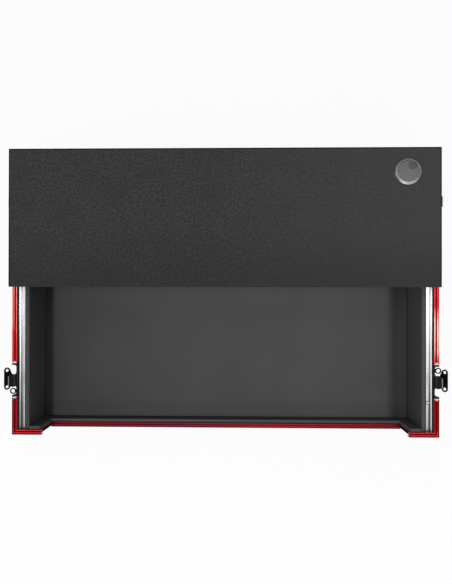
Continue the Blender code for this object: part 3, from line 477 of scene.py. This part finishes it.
def wall_light_and_shade(coat, grey, tone):
    """Paints light on the walls' cut tops, more towards the right, and paints their upright faces shaded on
    the left and lit on the right, less lit towards the front.
    """
    # Painted light on the cut tops, stronger towards the right.
    level = coat.between(coat.facing(Z), 0.9, 0.98)
    lit_tops = coat.times(level, coat.ramp(X, -380 * MM, -300 * MM, 0.03, 0.20))
    tone = coat.blend(lit_tops, tone, (0.16, 0.16, 0.162))
    # Painted light and shade on the upright faces: shaded on the left, lit on the right, less lit towards
    # the front.
    right = coat.blend(coat.ramp(Y, -40 * MM, -160 * MM), darker(grey, 1.42), darker(grey, 0.95))
    upright_light_and_shade = coat.blend(coat.ramp(X, -350 * MM, 350 * MM), darker(grey, 0.40), right)
    return coat.blend(coat.between(coat.facing(Z), 0.5, 0.3, 0.0, 0.4), tone, upright_light_and_shade)


def floor_light_and_shadow(coat, grey, tone):
    """Paints light on the floor foam between its side walls, brighter to the right, to the rear, at the
    platform's edge and by the front wall, and paints the side walls' shadows beside that.
    """
    sideways = coat.plus(coat.along(X), coat.times(coat.grain(6), 2 * MM))
    inside = coat.times(*[
        coat.between(sideways, edge - fade / 2, edge + fade / 2)
        for edge, fade in ((LIT_FLOOR_LEFT, SHADOW_EDGE_LEFT), (LIT_FLOOR_RIGHT, -SHADOW_EDGE_RIGHT))
    ])
    # Painted light: brighter to the right, to the rear, at the platform's edge and by the front wall.
    rubbed_and_lit = coat.ramp(X, LIT_FLOOR_LEFT, LIT_FLOOR_RIGHT * 0.6, -0.03, 0.14)
    for start, end, share in ((-200, -40, 0.12), (-40, 5, 0.30), (-218, -242, 0.22)):
        rubbed_and_lit = coat.plus(rubbed_and_lit, coat.ramp(Y, start * MM, end * MM, 0.0, share))
    pale = coat.blend(rubbed_and_lit, tone, darker(grey, 2.4))
    # Painted shadows beside the side walls, darker on the left.
    wall_shadow_tone = coat.blend(coat.ramp(X, 0.0, LIT_FLOOR_RIGHT), darker(grey, 0.36), darker(grey, 0.68))
    by_wall = coat.ramp(X, LIT_FLOOR_RIGHT + 10 * MM, LIT_FLOOR_RIGHT + 32 * MM)
    return coat.blend(inside, coat.blend(by_wall, wall_shadow_tone, darker(grey, 0.95)), pale)


def platform_textile(coat):
    """Needled black textile: short crossing fibres, lint, flattened patches and a dark band along its edges,
    with painted light brightening it to the right and painted shade darkening it towards the front.
    """
    black = coat.look.textile_black
    low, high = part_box("platform_board")
    fibres = coat.grain(0.55, detail=6, stretch=(3.0, 1, 1), rough=0.75)
    crossing = coat.grain(0.55, detail=6, stretch=(1, 3.0, 1), rough=0.75)
    pile = coat.most(fibres, crossing)
    tufts = coat.grain(3.5, detail=4, rough=0.65)
    patch = coat.grain(55, detail=3)
    lint = coat.grain(2.6, detail=2, stretch=(1.6, 1, 1))
    from_side = coat.minus(coat.along(X, mirrored=True), high.x)
    border = coat.most(from_side, coat.minus(coat.along(Y), high.y))
    tone = coat.blend(coat.between(pile, 0.42, 0.68), darker(black, 0.55), black)
    for share, over in (
        (coat.between(tufts, 0.40, 0.66, 0.0, 0.68), darker(black, 1.75)),
        (coat.between(patch, 0.4, 0.7, 0.0, 0.35), darker(black, 0.8)),
        (coat.between(lint, 0.70, 0.76, 0.0, 0.55), (0.14, 0.14, 0.145)),
        # Painted light, brighter towards the right.
        (coat.ramp(X, -50 * MM, high.x, 0.0, 0.55), darker(black, 1.55)),
        # Painted shade towards the front edge.
        (coat.ramp(Y, low.y + 110 * MM, low.y + 10 * MM, 0.0, 0.45), darker(black, 0.6)),
        (coat.between(border, -3.0 * MM, -1.7 * MM, 0.0, 0.85), (0.004, 0.004, 0.004)),
    ):
        tone = coat.blend(share, tone, over)
    coat.set(
        Base_Color=tone, Roughness=0.95, Specular_IOR_Level=0.02, Sheen_Weight=0.03, Sheen_Roughness=0.45)
    coat.relief(coat.plus(pile, coat.times(tufts, 0.4)), 0.30, radius=0.5)


def coated_steel(coat, wear_and_shine, bare_above=1.0):
    """Black coated pressed steel with a fine orange peel, bare where edges rub and above a height."""
    peel = coat.grain(0.9, detail=2)
    patches = coat.grain(4, detail=5, rough=0.7)
    rubbed_and_lit = coat.times(coat.edges(0.5), coat.between(patches, 0.50, 0.62), wear_and_shine)
    rubbed_and_lit = coat.most(rubbed_and_lit, coat.ramp(Z, bare_above - 0.3 * MM, bare_above - 0.1 * MM, 0.0, 0.6))
    coat.set(
        Base_Color=coat.blend(rubbed_and_lit, coat.look.steel_black, (0.34, 0.34, 0.35)), Metallic=rubbed_and_lit,
        Specular_IOR_Level=0.10, Roughness=coat.spread(patches, 0.30, 0.44),
    )
    coat.relief(peel, 0.03, radius=0.35)


def painted_wood(coat):
    """Matt black paint over plywood, its grain telegraphing through and its corners chipped."""
    veins = coat.grain(0.8, detail=5, stretch=(1, 14, 1), rough=0.65)
    chips = coat.times(coat.edges(0.7), coat.between(coat.grain(5), 0.60, 0.66))
    tone = coat.blend(chips, darker(coat.look.laminate_black, 1.1), (0.23, 0.15, 0.09))
    coat.set(Base_Color=tone, Roughness=coat.spread(veins, 0.50, 0.66), Specular_IOR_Level=0.25)
    coat.relief(veins, 0.12, radius=0.5)


def lacquered_rim(coat):
    """The grommet liner's metallic lacquer, with a painted highlight on its front lip, painted shade on its
    rear half and painted shade down inside its bore.
    """
    flake = coat.grain(0.3, detail=3)
    low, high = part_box("grommet_liner")
    middle = (low + high) / 2
    below = coat.ramp(Z, high.z - 1.2 * MM, high.z - 1.6 * MM)
    width = high.x - low.x
    inside = coat.between(coat.distance(middle), width * 0.42, width * 0.41)
    tone = coat.blend(coat.spread(coat.grain(9)), (0.160, 0.160, 0.162), (0.135, 0.135, 0.137))
    # Painted shade on the rear half.
    tone = coat.blend(coat.ramp(Y, high.y, middle.y, 0.45, 0.0), tone, (0.020, 0.020, 0.020))
    # Painted highlight on the front lip.
    tone = coat.blend(coat.ramp(Y, low.y + 12 * MM, low.y + 3 * MM, 0.0, 0.9), tone, (0.36, 0.36, 0.37))
    # Painted shade down inside the bore.
    tone = coat.blend(coat.times(below, inside), tone, (0.075, 0.075, 0.077))
    coat.set(Base_Color=tone, Metallic=0.9, Roughness=coat.spread(flake, 0.13, 0.19))
    coat.relief(flake, 0.004, radius=1.6)


def moulded_plastic(coat):
    """Satin grey moulding with a spark-eroded grain, and painted shade darkening it towards the rear, where
    its notch is.
    """
    grey = coat.look.grommet_grey
    spark = coat.grain(0.35, detail=3)
    low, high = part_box("grommet_cap")
    tone = coat.blend(coat.spread(coat.grain(12)), grey, darker(grey, 0.85))
    # Painted shade towards the rear.
    tone = coat.blend(coat.ramp(Y, high.y, low.y, 0.36, 0.0), tone, (0.03, 0.03, 0.03))
    coat.set(Base_Color=tone, Roughness=coat.spread(spark, 0.30, 0.42), Specular_IOR_Level=0.45)
    coat.relief(spark, 0.04, radius=0.4)


def nylon(coat):
    """Black nylon with drag lines along it."""
    drag = coat.grain(0.4, stretch=(1, 40, 1))
    tone = coat.blend(coat.between(drag, 0.5, 0.75, 0.0, 0.4), (0.02, 0.02, 0.021), (0.06, 0.06, 0.062))
    coat.set(Base_Color=tone, Roughness=coat.spread(drag, 0.34, 0.5), Specular_IOR_Level=0.4)
    coat.relief(drag, 0.05, radius=0.25)


def foot_rubber(coat):
    """Matt black rubber with a grey bloom."""
    bloom = coat.between(coat.grain(7, detail=4), 0.42, 0.7, 0.0, 0.6)
    grit = coat.grain(0.6, detail=3)
    tone = coat.blend(bloom, (0.014, 0.014, 0.014), (0.045, 0.044, 0.043))
    coat.set(Base_Color=tone, Roughness=coat.spread(grit, 0.74, 0.9), Specular_IOR_Level=0.25)
    coat.relief(grit, 0.08, radius=0.5)


def felt(coat):
    """Black felt, its hairs lying along the strip."""
    hairs = coat.grain(0.4, detail=6, stretch=(1, 2.5, 1), rough=0.8)
    tone = coat.blend(coat.between(hairs, 0.4, 0.7), (0.034, 0.037, 0.036), (0.080, 0.086, 0.084))
    coat.set(Base_Color=tone, Roughness=0.97, Specular_IOR_Level=0.02, Sheen_Weight=0.02)
    coat.relief(hairs, 0.2)


def plated_steel(coat):
    """Zinc plating on rivets and screws, with a faint passivated cloud."""
    cloud = coat.grain(1.8, detail=4)
    tone = coat.blend(coat.between(cloud, 0.35, 0.7), (0.68, 0.68, 0.67), (0.46, 0.46, 0.45))
    coat.set(Base_Color=tone, Metallic=1.0, Roughness=coat.spread(cloud, 0.24, 0.4))
    coat.relief(cloud, 0.02, radius=0.2)


COATS = {}


def coat_of(name, build, *details):
    """A material, built at its first use and shared after that."""
    if name not in COATS:
        coat = Coat(name)
        build(coat, *details)
        COATS[name] = coat.material
    return COATS[name]


def paint(names, material):
    """Gives CAD nodes one material, in place of the ones they came with."""
    for name in names:
        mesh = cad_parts[name].data
        mesh.materials.clear()
        mesh.materials.append(material)


def put_in_scene(name, data):
    """A new object that shows a mesh, a light or a camera."""
    made = bpy.data.objects.new(name, data)
    bpy.context.scene.collection.objects.link(made)
    return made


def new_piece(name, mesh, body, material):
    """A finished piece, placed in the frame, riding on a body."""
    mesh.materials.clear()
    mesh.materials.append(material)
    piece = put_in_scene(name, mesh)
    piece.data.shade_smooth()
    piece.data.set_sharp_from_angle(angle=SHADED_SHARP)
    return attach(piece, body)


def mesh_of(bm, name):
    """A mesh of the surface that was built, with its faces turned outwards."""
    mesh = bpy.data.meshes.new(name)
    bmesh.ops.recalc_face_normals(bm, faces=bm.faces)
    bm.to_mesh(mesh)
    bm.free()
    return mesh


def solid_of(node):
    """A CAD node's surface with its triangles joined into flat faces again."""
    bm = bmesh.new()
    bm.from_mesh(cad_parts[node].data)
    bmesh.ops.remove_doubles(bm, verts=bm.verts, dist=0.01 * MM)
    bmesh.ops.dissolve_limit(bm, angle_limit=math.radians(0.5), verts=bm.verts, edges=bm.edges)
    return bm


def slice_up(bm, spacing):
    """Loops of cuts across the longer directions, so that a surface can be uneven."""
    corners = [v.co.copy() for v in bm.verts]
    for axis in range(3):
        low = min(c[axis] for c in corners)
        high = max(c[axis] for c in corners)
        steps = int((high - low) / spacing)
        normal = Vector([float(i == axis) for i in range(3)])
        for step in range(1, steps):
            at = normal * (low + (high - low) * step / steps)
            whole = [*bm.verts, *bm.edges, *bm.faces]
            bmesh.ops.bisect_plane(bm, geom=whole, plane_co=at, plane_no=normal, dist=0.02 * MM)


def foam_sheet(node, look, spacing, material):
    """One foam: knife-cut edges a little rounded, and faces pressed in unevenly, never outwards."""
    bm = solid_of(node)
    sharp = [e for e in bm.edges if e.is_manifold and e.calc_face_angle() > KNIFE_CUT]
    bmesh.ops.bevel(bm, geom=sharp, offset=look.foam_rounding, segments=3, profile=0.55,
                    affect="EDGES", clamp_overlap=True)
    slice_up(bm, spacing)
    bmesh.ops.recalc_face_normals(bm, faces=bm.faces)
    bm.normal_update()
    seed = Vector((node.count("l") * 3.1, len(node), 7.0))
    for vert in bm.verts:
        swell = noise.noise(vert.co * 22 + seed) + 0.5 * noise.noise(vert.co * 61 + seed)
        depth = look.foam_unevenness * min(1, max(0, 0.5 + 0.5 * swell))
        vert.co -= vert.normal * depth
    piece = new_piece(f"{node}_sheet", mesh_of(bm, node), "case", material)
    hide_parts(node)


def turned_mesh(profile, steps=20):
    """A closed solid from a profile of radii and heights, turned round Z."""
    bm = bmesh.new()
    rings = []
    for radius, height in profile:
        if radius == 0:
            rings.append([bm.verts.new((0, 0, height))])
            continue
        angles = [2 * math.pi * i / steps for i in range(steps)]
        rings.append([bm.verts.new((radius * math.cos(a), radius * math.sin(a), height)) for a in angles])
    for lower, upper in zip(rings, rings[1:]):
        for i in range(steps):
            corners = [lower[i % len(lower)], lower[(i + 1) % len(lower)],
                       upper[(i + 1) % len(upper)], upper[i % len(upper)]]
            bm.faces.new(list(dict.fromkeys(corners)))
    return mesh_of(bm, "turned")


def cut_mesh(mesh, cutter):
    """The first mesh with the second cut out of it."""
    solid = put_in_scene("solid", mesh)
    tool = put_in_scene("tool", cutter)
    made = solid.modifiers.new("cut", "BOOLEAN")
    made.object = tool
    bpy.context.view_layer.update()
    graph = bpy.context.evaluated_depsgraph_get()
    result = bpy.data.meshes.new_from_object(solid.evaluated_get(graph), depsgraph=graph)
    for thing in (solid, tool):
        bpy.data.objects.remove(thing)
    return result


def blind_rivet(radius):
    """Domed head with the hollow that the pulled mandrel leaves; its seat is at height 0."""
    rise = radius * 0.40
    hollow = radius * 0.30
    angles = [math.radians(degrees) for degrees in (0, 18, 36, 54, 69)]
    dome = [(radius * math.cos(a), radius * 0.07 + rise * math.sin(a)) for a in angles]
    mandrel_hole = [(hollow, dome[-1][1]), (hollow * 0.9, rise * 0.5), (0, rise * 0.45)]
    return turned_mesh([(0, 0), (radius, 0), *dome, *mandrel_hole])


def cross_screw(radius, rise):
    """Screw head with a cross recess. With no rise it is countersunk, its face at height 0."""
    if rise:
        angles = [math.radians(degrees) for degrees in (0, 22, 44, 66)]
        dome = [(radius * math.cos(a), rise * (0.35 + 0.65 * math.sin(a))) for a in angles]
        profile = [(0, 0), (radius, 0), *dome, (0, rise)]
    else:
        shank = radius * 0.45
        tip = -radius * 0.75
        profile = [(0, tip), (shank, tip), (radius, -radius * 0.12), (radius, 0), (0, 0)]
    bm = bmesh.new()
    half = radius * 0.12
    reach = radius * 0.52
    outline = []
    for quarter in range(4):
        turn = Matrix.Rotation(quarter * math.pi / 2, 2)
        outline += [turn @ Vector(at) for at in ((reach, -half), (reach, half), (half, half))]
    depth = radius * 0.4
    face = bm.faces.new([bm.verts.new((p.x, p.y, rise - depth)) for p in outline])
    grown = bmesh.ops.extrude_face_region(bm, geom=[face])
    lifted = [v for v in grown["geom"] if isinstance(v, bmesh.types.BMVert)]
    bmesh.ops.translate(bm, vec=(0, 0, 2 * depth), verts=lifted)
    return cut_mesh(turned_mesh(profile, 24), mesh_of(bm, "cross"))


def set_in_places(name, head, places, body, material):
    """Copies of a fastener's head as one piece, each at a point with its axis along a direction."""
    bm = bmesh.new()
    for number, (at, direction) in enumerate(places):
        turned = Vector((0, 0, 1)).rotation_difference(Vector(direction)).to_matrix()
        spun = Matrix.Rotation(number * HEAD_TURN, 3, "Z")
        placed = head.copy()
        placed.transform(Matrix.Translation(at) @ (turned @ spun).to_4x4())
        bm.from_mesh(placed)
        bpy.data.meshes.remove(placed)
    new_piece(name, mesh_of(bm, name), body, material)


def evenly(low, high, inset, spacing):
    """Places along a run, the outer two at an inset from its ends, no further apart than a spacing."""
    low += inset
    high -= inset
    count = max(2, math.ceil((high - low) / spacing) + 1)
    return [low + (high - low) * i / (count - 1) for i in range(count)]


class FLIGHTCASE_OT_coat_panels(bpy.types.Operator):
    """Laminate on the plywood shell, and black paint on the rail boards behind the foam"""
    bl_idname = "flight_case.coat_panels"
    bl_label = "Coat Panels"

    def execute(self, context):
        panels = [f"{place}_panel" for place in ("floor", "left_side", "right_side", "front", "back")]
        paint(panels, coat_of("pebbled_black_laminate", laminate))
        paint([f"{side}_rail_board" for side, _ in SIDES], coat_of("black_painted_plywood", painted_wood))
        return {"FINISHED"}


class FLIGHTCASE_OT_coat_trims(bpy.types.Operator):
    """Red anodising on the closure trim and on the edge angles"""
    bl_idname = "flight_case.coat_trims"
    bl_label = "Coat Trims"

    def execute(self, context):
        trims = [f"{side}_{run}_trim" for side, _ in SIDES for run in ("front", "middle")]
        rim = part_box("rear_trim")[1].z
        paint([*trims, "rear_trim"], coat_of("red_rim_trim", anodised_trim, rim, 1.0))
        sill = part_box("cutout_trim")[1].z
        paint(["cutout_trim"], coat_of("red_cutout_trim", anodised_trim, sill, 0.25))
        angles = [f"{edge}_bottom_angle" for edge in ("left", "right", "front", "back")]
        angles += [f"{end}_{side}_corner_angle" for end, _, side, _ in CORNERS]
        paint(angles, coat_of("red_anodised_angle", anodised_angle))
        return {"FINISHED"}


class FLIGHTCASE_OT_coat_hardware(bpy.types.Operator):
    """Black coating on the latches and ball corners, and rubber on the feet"""
    bl_idname = "flight_case.coat_hardware"
    bl_label = "Coat Hardware"

    def execute(self, context):
        pressings = [f"{latch}_latch_{piece}" for latch in LATCHES for piece in ("dish", "rotor", "wing")]
        paint(pressings, coat_of("black_latch_steel", coated_steel, 0.12))
        hooks = [f"{latch}_latch_hook" for latch in LATCHES]
        paint(hooks, coat_of("black_hook_steel", coated_steel, 0.35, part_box(hooks[0])[1].z))
        corners = [f"{end}_{side}_ball_corner" for end, _, side, _ in CORNERS]
        paint(corners, coat_of("black_corner_steel", coated_steel, 0.6))
        feet = [f"{end}_{side}_foot" for end, _, side, _ in CORNERS]
        paint(feet, coat_of("matt_foot_rubber", foot_rubber))
        return {"FINISHED"}


class FLIGHTCASE_OT_lay_foam(bpy.types.Operator):
    """Foam sheets on the floor and the four walls"""
    bl_idname = "flight_case.lay_foam"
    bl_label = "Lay Foam"

    def execute(self, context):
        look = context.scene.flight_case_finish
        wall_coat = coat_of("grey_wall_foam", closed_cell_foam, wall_light_and_shade)
        for wall in ("left", "right", "front", "back"):
            foam_sheet(f"{wall}_foam", look, WALL_FOAM_GRID, wall_coat)
        floor_coat = coat_of("grey_floor_foam", closed_cell_foam, floor_light_and_shadow)
        foam_sheet("floor_foam", look, FLOOR_FOAM_GRID, floor_coat)
        return {"FINISHED"}


class FLIGHTCASE_OT_stick_felt(bpy.types.Operator):
    """Felt strips on the trim's inner leg above each rail, where the platform's legs pass"""
    bl_idname = "flight_case.stick_felt"
    bl_label = "Stick Felt"

    def execute(self, context):
        thickness = context.scene.flight_case_finish.felt_thickness
        z_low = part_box("left_rail")[1].z + FELT_ABOVE_RAIL
        for side, sign in SIDES:
            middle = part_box(f"{side}_middle_trim")
            width = middle[1].x - middle[0].x
            inner = middle[0 if sign > 0 else 1].x
            for run in ("front", "middle", "rear"):
                low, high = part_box("rear_trim" if run == "rear" else f"{side}_{run}_trim")
                y_low = low.y + (width if run == "front" else 0)
                y_high = high.y - (width if run == "rear" else 0)
                z_high = high.z - FELT_BELOW_RIM
                self.strip(f"{side}_{run}_felt", inner, -sign * thickness, (y_low, z_low), (y_high, z_high))
        return {"FINISHED"}

    def strip(self, name, wall, thickness, lower, upper):
        """A strip against a wall plane, its free face rounded over and slightly fluffed."""
        bm = bmesh.new()
        bmesh.ops.create_cube(bm, size=1)
        start = wall + math.copysign(FELT_GLUE, thickness)
        low = Vector((min(start, start + thickness), *lower))
        high = Vector((max(start, start + thickness), *upper))
        for vert in bm.verts:
            vert.co = Vector([low[i] if vert.co[i] < 0 else high[i] for i in range(3)])
        rounding = abs(thickness) * 0.3
        bmesh.ops.bevel(bm, geom=list(bm.edges), offset=rounding, segments=2, profile=0.5, affect="EDGES")
        slice_up(bm, FELT_GRID)
        for vert in bm.verts:
            if abs(vert.co.x - start) > abs(thickness) / 2:
                vert.co.x -= thickness * 0.25 * abs(noise.noise(vert.co * 180))
        new_piece(name, mesh_of(bm, name), "case", coat_of("black_felt_strip", felt))


class FLIGHTCASE_OT_coat_slide_way(bpy.types.Operator):
    """Mill aluminium on the rails, nylon on the glides and black paint on the platform's legs"""
    bl_idname = "flight_case.coat_slide_way"
    bl_label = "Coat Slide Way"

    def execute(self, context):
        for piece, name, build in (
            ("rail", "bare_aluminium_rail", bare_aluminium),
            ("platform_glide", "black_nylon_glide", nylon),
            ("platform_leg", "black_painted_plywood", painted_wood),
        ):
            paint([f"{side}_{piece}" for side, _ in SIDES], coat_of(name, build))
        return {"FINISHED"}


class FLIGHTCASE_OT_cover_platform(bpy.types.Operator):
    """Needled textile on the platform, and grey plastic and lacquer on its cable grommet"""
    bl_idname = "flight_case.cover_platform"
    bl_label = "Cover Platform"

    def execute(self, context):
        paint(["platform_board"], coat_of("needled_black_textile", platform_textile))
        paint(["grommet_cap"], coat_of("satin_grey_moulding", moulded_plastic))
        paint(["grommet_liner"], coat_of("metallic_grey_lacquer", lacquered_rim))
        return {"FINISHED"}


class FLIGHTCASE_OT_fit_rivets(bpy.types.Operator):
    """Blind rivets in the trim, the angles, the ball corners and the latch dishes"""
    bl_idname = "flight_case.fit_rivets"
    bl_label = "Fit Rivets"

    def execute(self, context):
        look = context.scene.flight_case_finish
        silver = blind_rivet(look.rivet_head / 2)
        zinc = coat_of("zinc_plated_steel", plated_steel)
        black = coat_of("black_rivet_steel", coated_steel, 0.5)
        set_in_places("trim_rivets", silver, self.trim_places(), "case", zinc)
        set_in_places("angle_rivets", silver, self.angle_places(), "case", zinc)
        set_in_places("corner_rivets", silver, self.corner_places(), "case", zinc)
        small = blind_rivet(look.rivet_head * 0.42)
        set_in_places("latch_rivets", small, self.latch_places(), "case", black)
        return {"FINISHED"}

    def trim_places(self):
        """Along each run of the closure trim, and along the trim of the front cut-out."""
        rear_low, rear_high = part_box("rear_trim")
        z = rear_high.z - TRIM_RIVET_DROP
        for side, sign in SIDES:
            outward = (sign, 0, 0)
            low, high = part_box(f"{side}_middle_trim")
            face = high.x if sign > 0 else low.x
            for y in evenly(low.y, high.y, TRIM_RIVET_END, SIDE_RIVETS_APART):
                yield (face, y, z), outward
            front_low, front_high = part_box(f"{side}_front_trim")
            yield (face, front_high.y - TRIM_RIVET_END, z), outward
            inner = front_high.x if sign < 0 else front_low.x
            yield (inner + sign * TRIM_RIVET_END, front_low.y, z), (0, -1, 0)
            yield (face, rear_low.y + TRIM_RIVET_END, z), outward
        for x in evenly(rear_low.x, rear_high.x, REAR_RIVET_END, REAR_RIVETS_APART):
            yield (x, rear_high.y, z), (0, 1, 0)
        low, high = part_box("cutout_trim")
        for x in evenly(low.x, high.x, TRIM_RIVET_END, SILL_RIVETS_APART):
            yield (x, low.y, high.z - TRIM_RIVET_DROP), (0, -1, 0)

    def angle_places(self):
        """Along both legs of each bottom angle, and up both legs of each corner angle."""
        for side, sign in SIDES:
            low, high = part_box(f"{side}_bottom_angle")
            face = high.x if sign > 0 else low.x
            for y in evenly(low.y, high.y, ANGLE_RIVET_END, ANGLE_RIVETS_APART):
                yield (face, y, low.z + ANGLE_RIVET_IN), (sign, 0, 0)
                yield (face - sign * ANGLE_RIVET_IN, y, low.z), (0, 0, -1)
        for end, way in ENDS:
            low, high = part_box(f"{end}_bottom_angle")
            face = high.y if way > 0 else low.y
            for x in evenly(low.x, high.x, ANGLE_RIVET_END, ANGLE_RIVETS_APART):
                yield (x, face, low.z + ANGLE_RIVET_IN), (0, way, 0)
                yield (x, face - way * ANGLE_RIVET_IN, low.z), (0, 0, -1)
        for end, way, side, sign in CORNERS:
            low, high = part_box(f"{end}_{side}_corner_angle")
            x = high.x if sign > 0 else low.x
            y = high.y if way > 0 else low.y
            for z in (low.z + CORNER_RIVETS_UP, high.z - CORNER_RIVETS_DOWN):
                yield (x, y - way * ANGLE_RIVET_IN, z), (sign, 0, 0)
                yield (x - sign * ANGLE_RIVET_IN, y, z), (0, way, 0)

    def corner_places(self):
        """One in each leaf of each ball corner."""
        for end, way, side, sign in CORNERS:
            side_low, side_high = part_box(f"{side}_bottom_angle")
            end_low, end_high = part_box(f"{end}_bottom_angle")
            x = (side_high.x if sign > 0 else side_low.x) + sign * LEAF_PROUD
            y = (end_high.y if way > 0 else end_low.y) + way * LEAF_PROUD
            tip = Vector((x, y, side_low.z - LEAF_PROUD))
            for axis, outward in enumerate(((sign, 0, 0), (0, way, 0), (0, 0, -1))):
                at = tip + Vector((-sign, -way, 1)) * LEAF_RIVET_IN
                at[axis] = tip[axis]
                yield tuple(at), outward

    def latch_places(self):
        """Three in the lower flange of each latch dish."""
        for latch in LATCHES:
            low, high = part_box(f"{latch}_latch_dish")
            side, sign = SIDES[latch.endswith("right")]
            trim_low, trim_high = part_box(f"{side}_middle_trim")
            face = (trim_high.x if sign > 0 else trim_low.x) - sign * DISH_FACE_IN
            middle = (low.y + high.y) / 2
            for y in (middle - LATCH_RIVET_SPREAD, middle, middle + LATCH_RIVET_SPREAD):
                yield (face, y, low.z + LATCH_RIVET_UP), (sign, 0, 0)


class FLIGHTCASE_OT_drive_screws(bpy.types.Operator):
    """Countersunk screws in the rails and pan-head screws up through the rubber feet"""
    bl_idname = "flight_case.drive_screws"
    bl_label = "Drive Screws"

    def execute(self, context):
        look = context.scene.flight_case_finish
        zinc = coat_of("zinc_plated_steel", plated_steel)
        sunk = cross_screw(look.screw_head / 2, 0)
        set_in_places("rail_screws", sunk, self.rail_places(), "case", zinc)
        domed = cross_screw(look.screw_head * 0.85, FOOT_SCREW_RISE)
        set_in_places("foot_screws", domed, self.foot_places(), "case", zinc)
        return {"FINISHED"}

    def rail_places(self):
        """On the floor of each rail, facing up."""
        for side, _ in SIDES:
            low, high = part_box(f"{side}_rail")
            for y in RAIL_SCREWS[side]:
                yield ((low.x + high.x) / 2, y, low.z + RAIL_WALL + SCREW_PROUD), (0, 0, 1)

    def foot_places(self):
        """Inside each foot's cup, facing down."""
        for end, _, side, _ in CORNERS:
            low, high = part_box(f"{end}_{side}_foot")
            middle = (low + high) / 2
            yield (middle.x, middle.y, FOOT_CUP_H - FOOT_SCREW_SUNK), (0, 0, -1)


class FLIGHTCASE_OT_build_studio(bpy.types.Operator):
    """Pale floor, soft light and the camera above the case"""
    bl_idname = "flight_case.build_studio"
    bl_label = "Build Studio"

    def execute(self, context):
        studio = context.scene.flight_case_studio
        self.floor(studio)
        self.sky(studio)
        for name, at, size, setting in LAMPS:
            self.lamp(name, at, size, getattr(studio, setting))
        self.camera(context)
        context.scene.view_settings.view_transform = "Standard"
        return {"FINISHED"}

    def seen_share(self, tree, low, high):
        """The high value for rays from the camera, mirrors and glass, and the low one for all others."""
        rays = add_node(tree, "ShaderNodeLightPath", {}).outputs
        share = rays["Is Camera Ray"]
        for kind in ("Is Glossy Ray", "Is Transmission Ray"):
            either = add_node(tree, "ShaderNodeMath", {0: share, 1: rays[kind]}, operation="MAXIMUM")
            share = either.outputs[0]
        inputs = {"Value": share, "To Min": low, "To Max": high}
        return add_node(tree, "ShaderNodeMapRange", inputs).outputs[0]

    def floor(self, studio):
        half = studio.floor_size / 2
        bm = bmesh.new()
        bmesh.ops.create_grid(bm, x_segments=8, y_segments=8, size=half)
        mesh = mesh_of(bm, "floor")
        material = bpy.data.materials.new("pale_floor")
        material.use_nodes = True
        tree = material.node_tree
        shader = tree.nodes["Principled BSDF"]
        white = (*studio.floor_white, 1)
        feed(tree, shader, {"Base Color": white, "Roughness": 0.9, "Specular IOR Level": 0.0})
        glow = add_node(tree, "ShaderNodeEmission", {})
        share = self.seen_share(tree, 0.0, FLOOR_GLOW)
        mixed = add_node(tree, "ShaderNodeMixShader", {0: share, 1: shader.outputs[0], 2: glow.outputs[0]})
        feed(tree, tree.nodes["Material Output"], {"Surface": mixed.outputs[0]})
        mesh.materials.append(material)
        floor = put_in_scene("studio_floor", mesh)
        floor.location.z = -FLOOR_BELOW_FEET

    def sky(self, studio):
        world = bpy.data.worlds.new("studio_sky")
        world.use_nodes = True
        bpy.context.scene.world = world
        tree = world.node_tree
        strength = self.seen_share(tree, studio.sky_strength, 1.0)
        feed(tree, tree.nodes["Background"], {"Color": (1, 1, 1, 1), "Strength": strength})

    def lamp(self, name, at, size, watts):
        light = bpy.data.lights.new(name, "AREA")
        light.shape = "RECTANGLE"
        light.size, light.size_y = size
        light.energy = watts
        made = put_in_scene(name, light)
        made.location = at
        made.rotation_euler = (-Vector(at)).to_track_quat("-Z", "Y").to_euler()

    def camera(self, context):
        eye = bpy.data.cameras.new("overhead_camera")
        eye.sensor_fit = "VERTICAL"
        eye.sensor_height = CAMERA_SENSOR
        eye.lens = CAMERA_LENS
        eye.clip_start = 0.01
        made = put_in_scene("overhead_camera", eye)
        made.location = CAMERA_AT
        made.rotation_euler = [math.radians(turn) for turn in CAMERA_TURN]
        context.scene.camera = made


STEPS = (
    FLIGHTCASE_OT_coat_panels,
    FLIGHTCASE_OT_coat_trims,
    FLIGHTCASE_OT_coat_hardware,
    FLIGHTCASE_OT_lay_foam,
    FLIGHTCASE_OT_stick_felt,
    FLIGHTCASE_OT_coat_slide_way,
    FLIGHTCASE_OT_cover_platform,
    FLIGHTCASE_OT_fit_rivets,
    FLIGHTCASE_OT_drive_screws,
    FLIGHTCASE_OT_build_studio,
)


class FLIGHTCASE_PT_finishes(bpy.types.Panel):
    """Lists the case's colours, sizes and steps"""
    bl_idname = "FLIGHTCASE_PT_finishes"
    bl_label = "Flight Case Finishes"
    bl_space_type = "VIEW_3D"
    bl_region_type = "UI"
    bl_category = "Flight Case"

    def draw(self, context):
        for settings in (context.scene.flight_case_finish, context.scene.flight_case_studio):
            box = self.layout.box()
            for name in settings.__annotations__:
                box.prop(settings, name)
        column = self.layout.column(align=True)
        for step in STEPS:
            column.operator(step.bl_idname)


CLASSES = (FlightCaseFinish, FlightCaseStudio, *STEPS, FLIGHTCASE_PT_finishes)


def register():
    for cls in CLASSES:
        bpy.utils.register_class(cls)
    bpy.types.Scene.flight_case_finish = bpy.props.PointerProperty(type=FlightCaseFinish)
    bpy.types.Scene.flight_case_studio = bpy.props.PointerProperty(type=FlightCaseStudio)


def unregister():
    del bpy.types.Scene.flight_case_studio
    del bpy.types.Scene.flight_case_finish
    for cls in reversed(CLASSES):
        bpy.utils.unregister_class(cls)


def main():
    register()
    for step in STEPS:
        group, name = step.bl_idname.split(".")
        getattr(getattr(bpy.ops, group), name)()


if __name__ == "__main__":
    main()
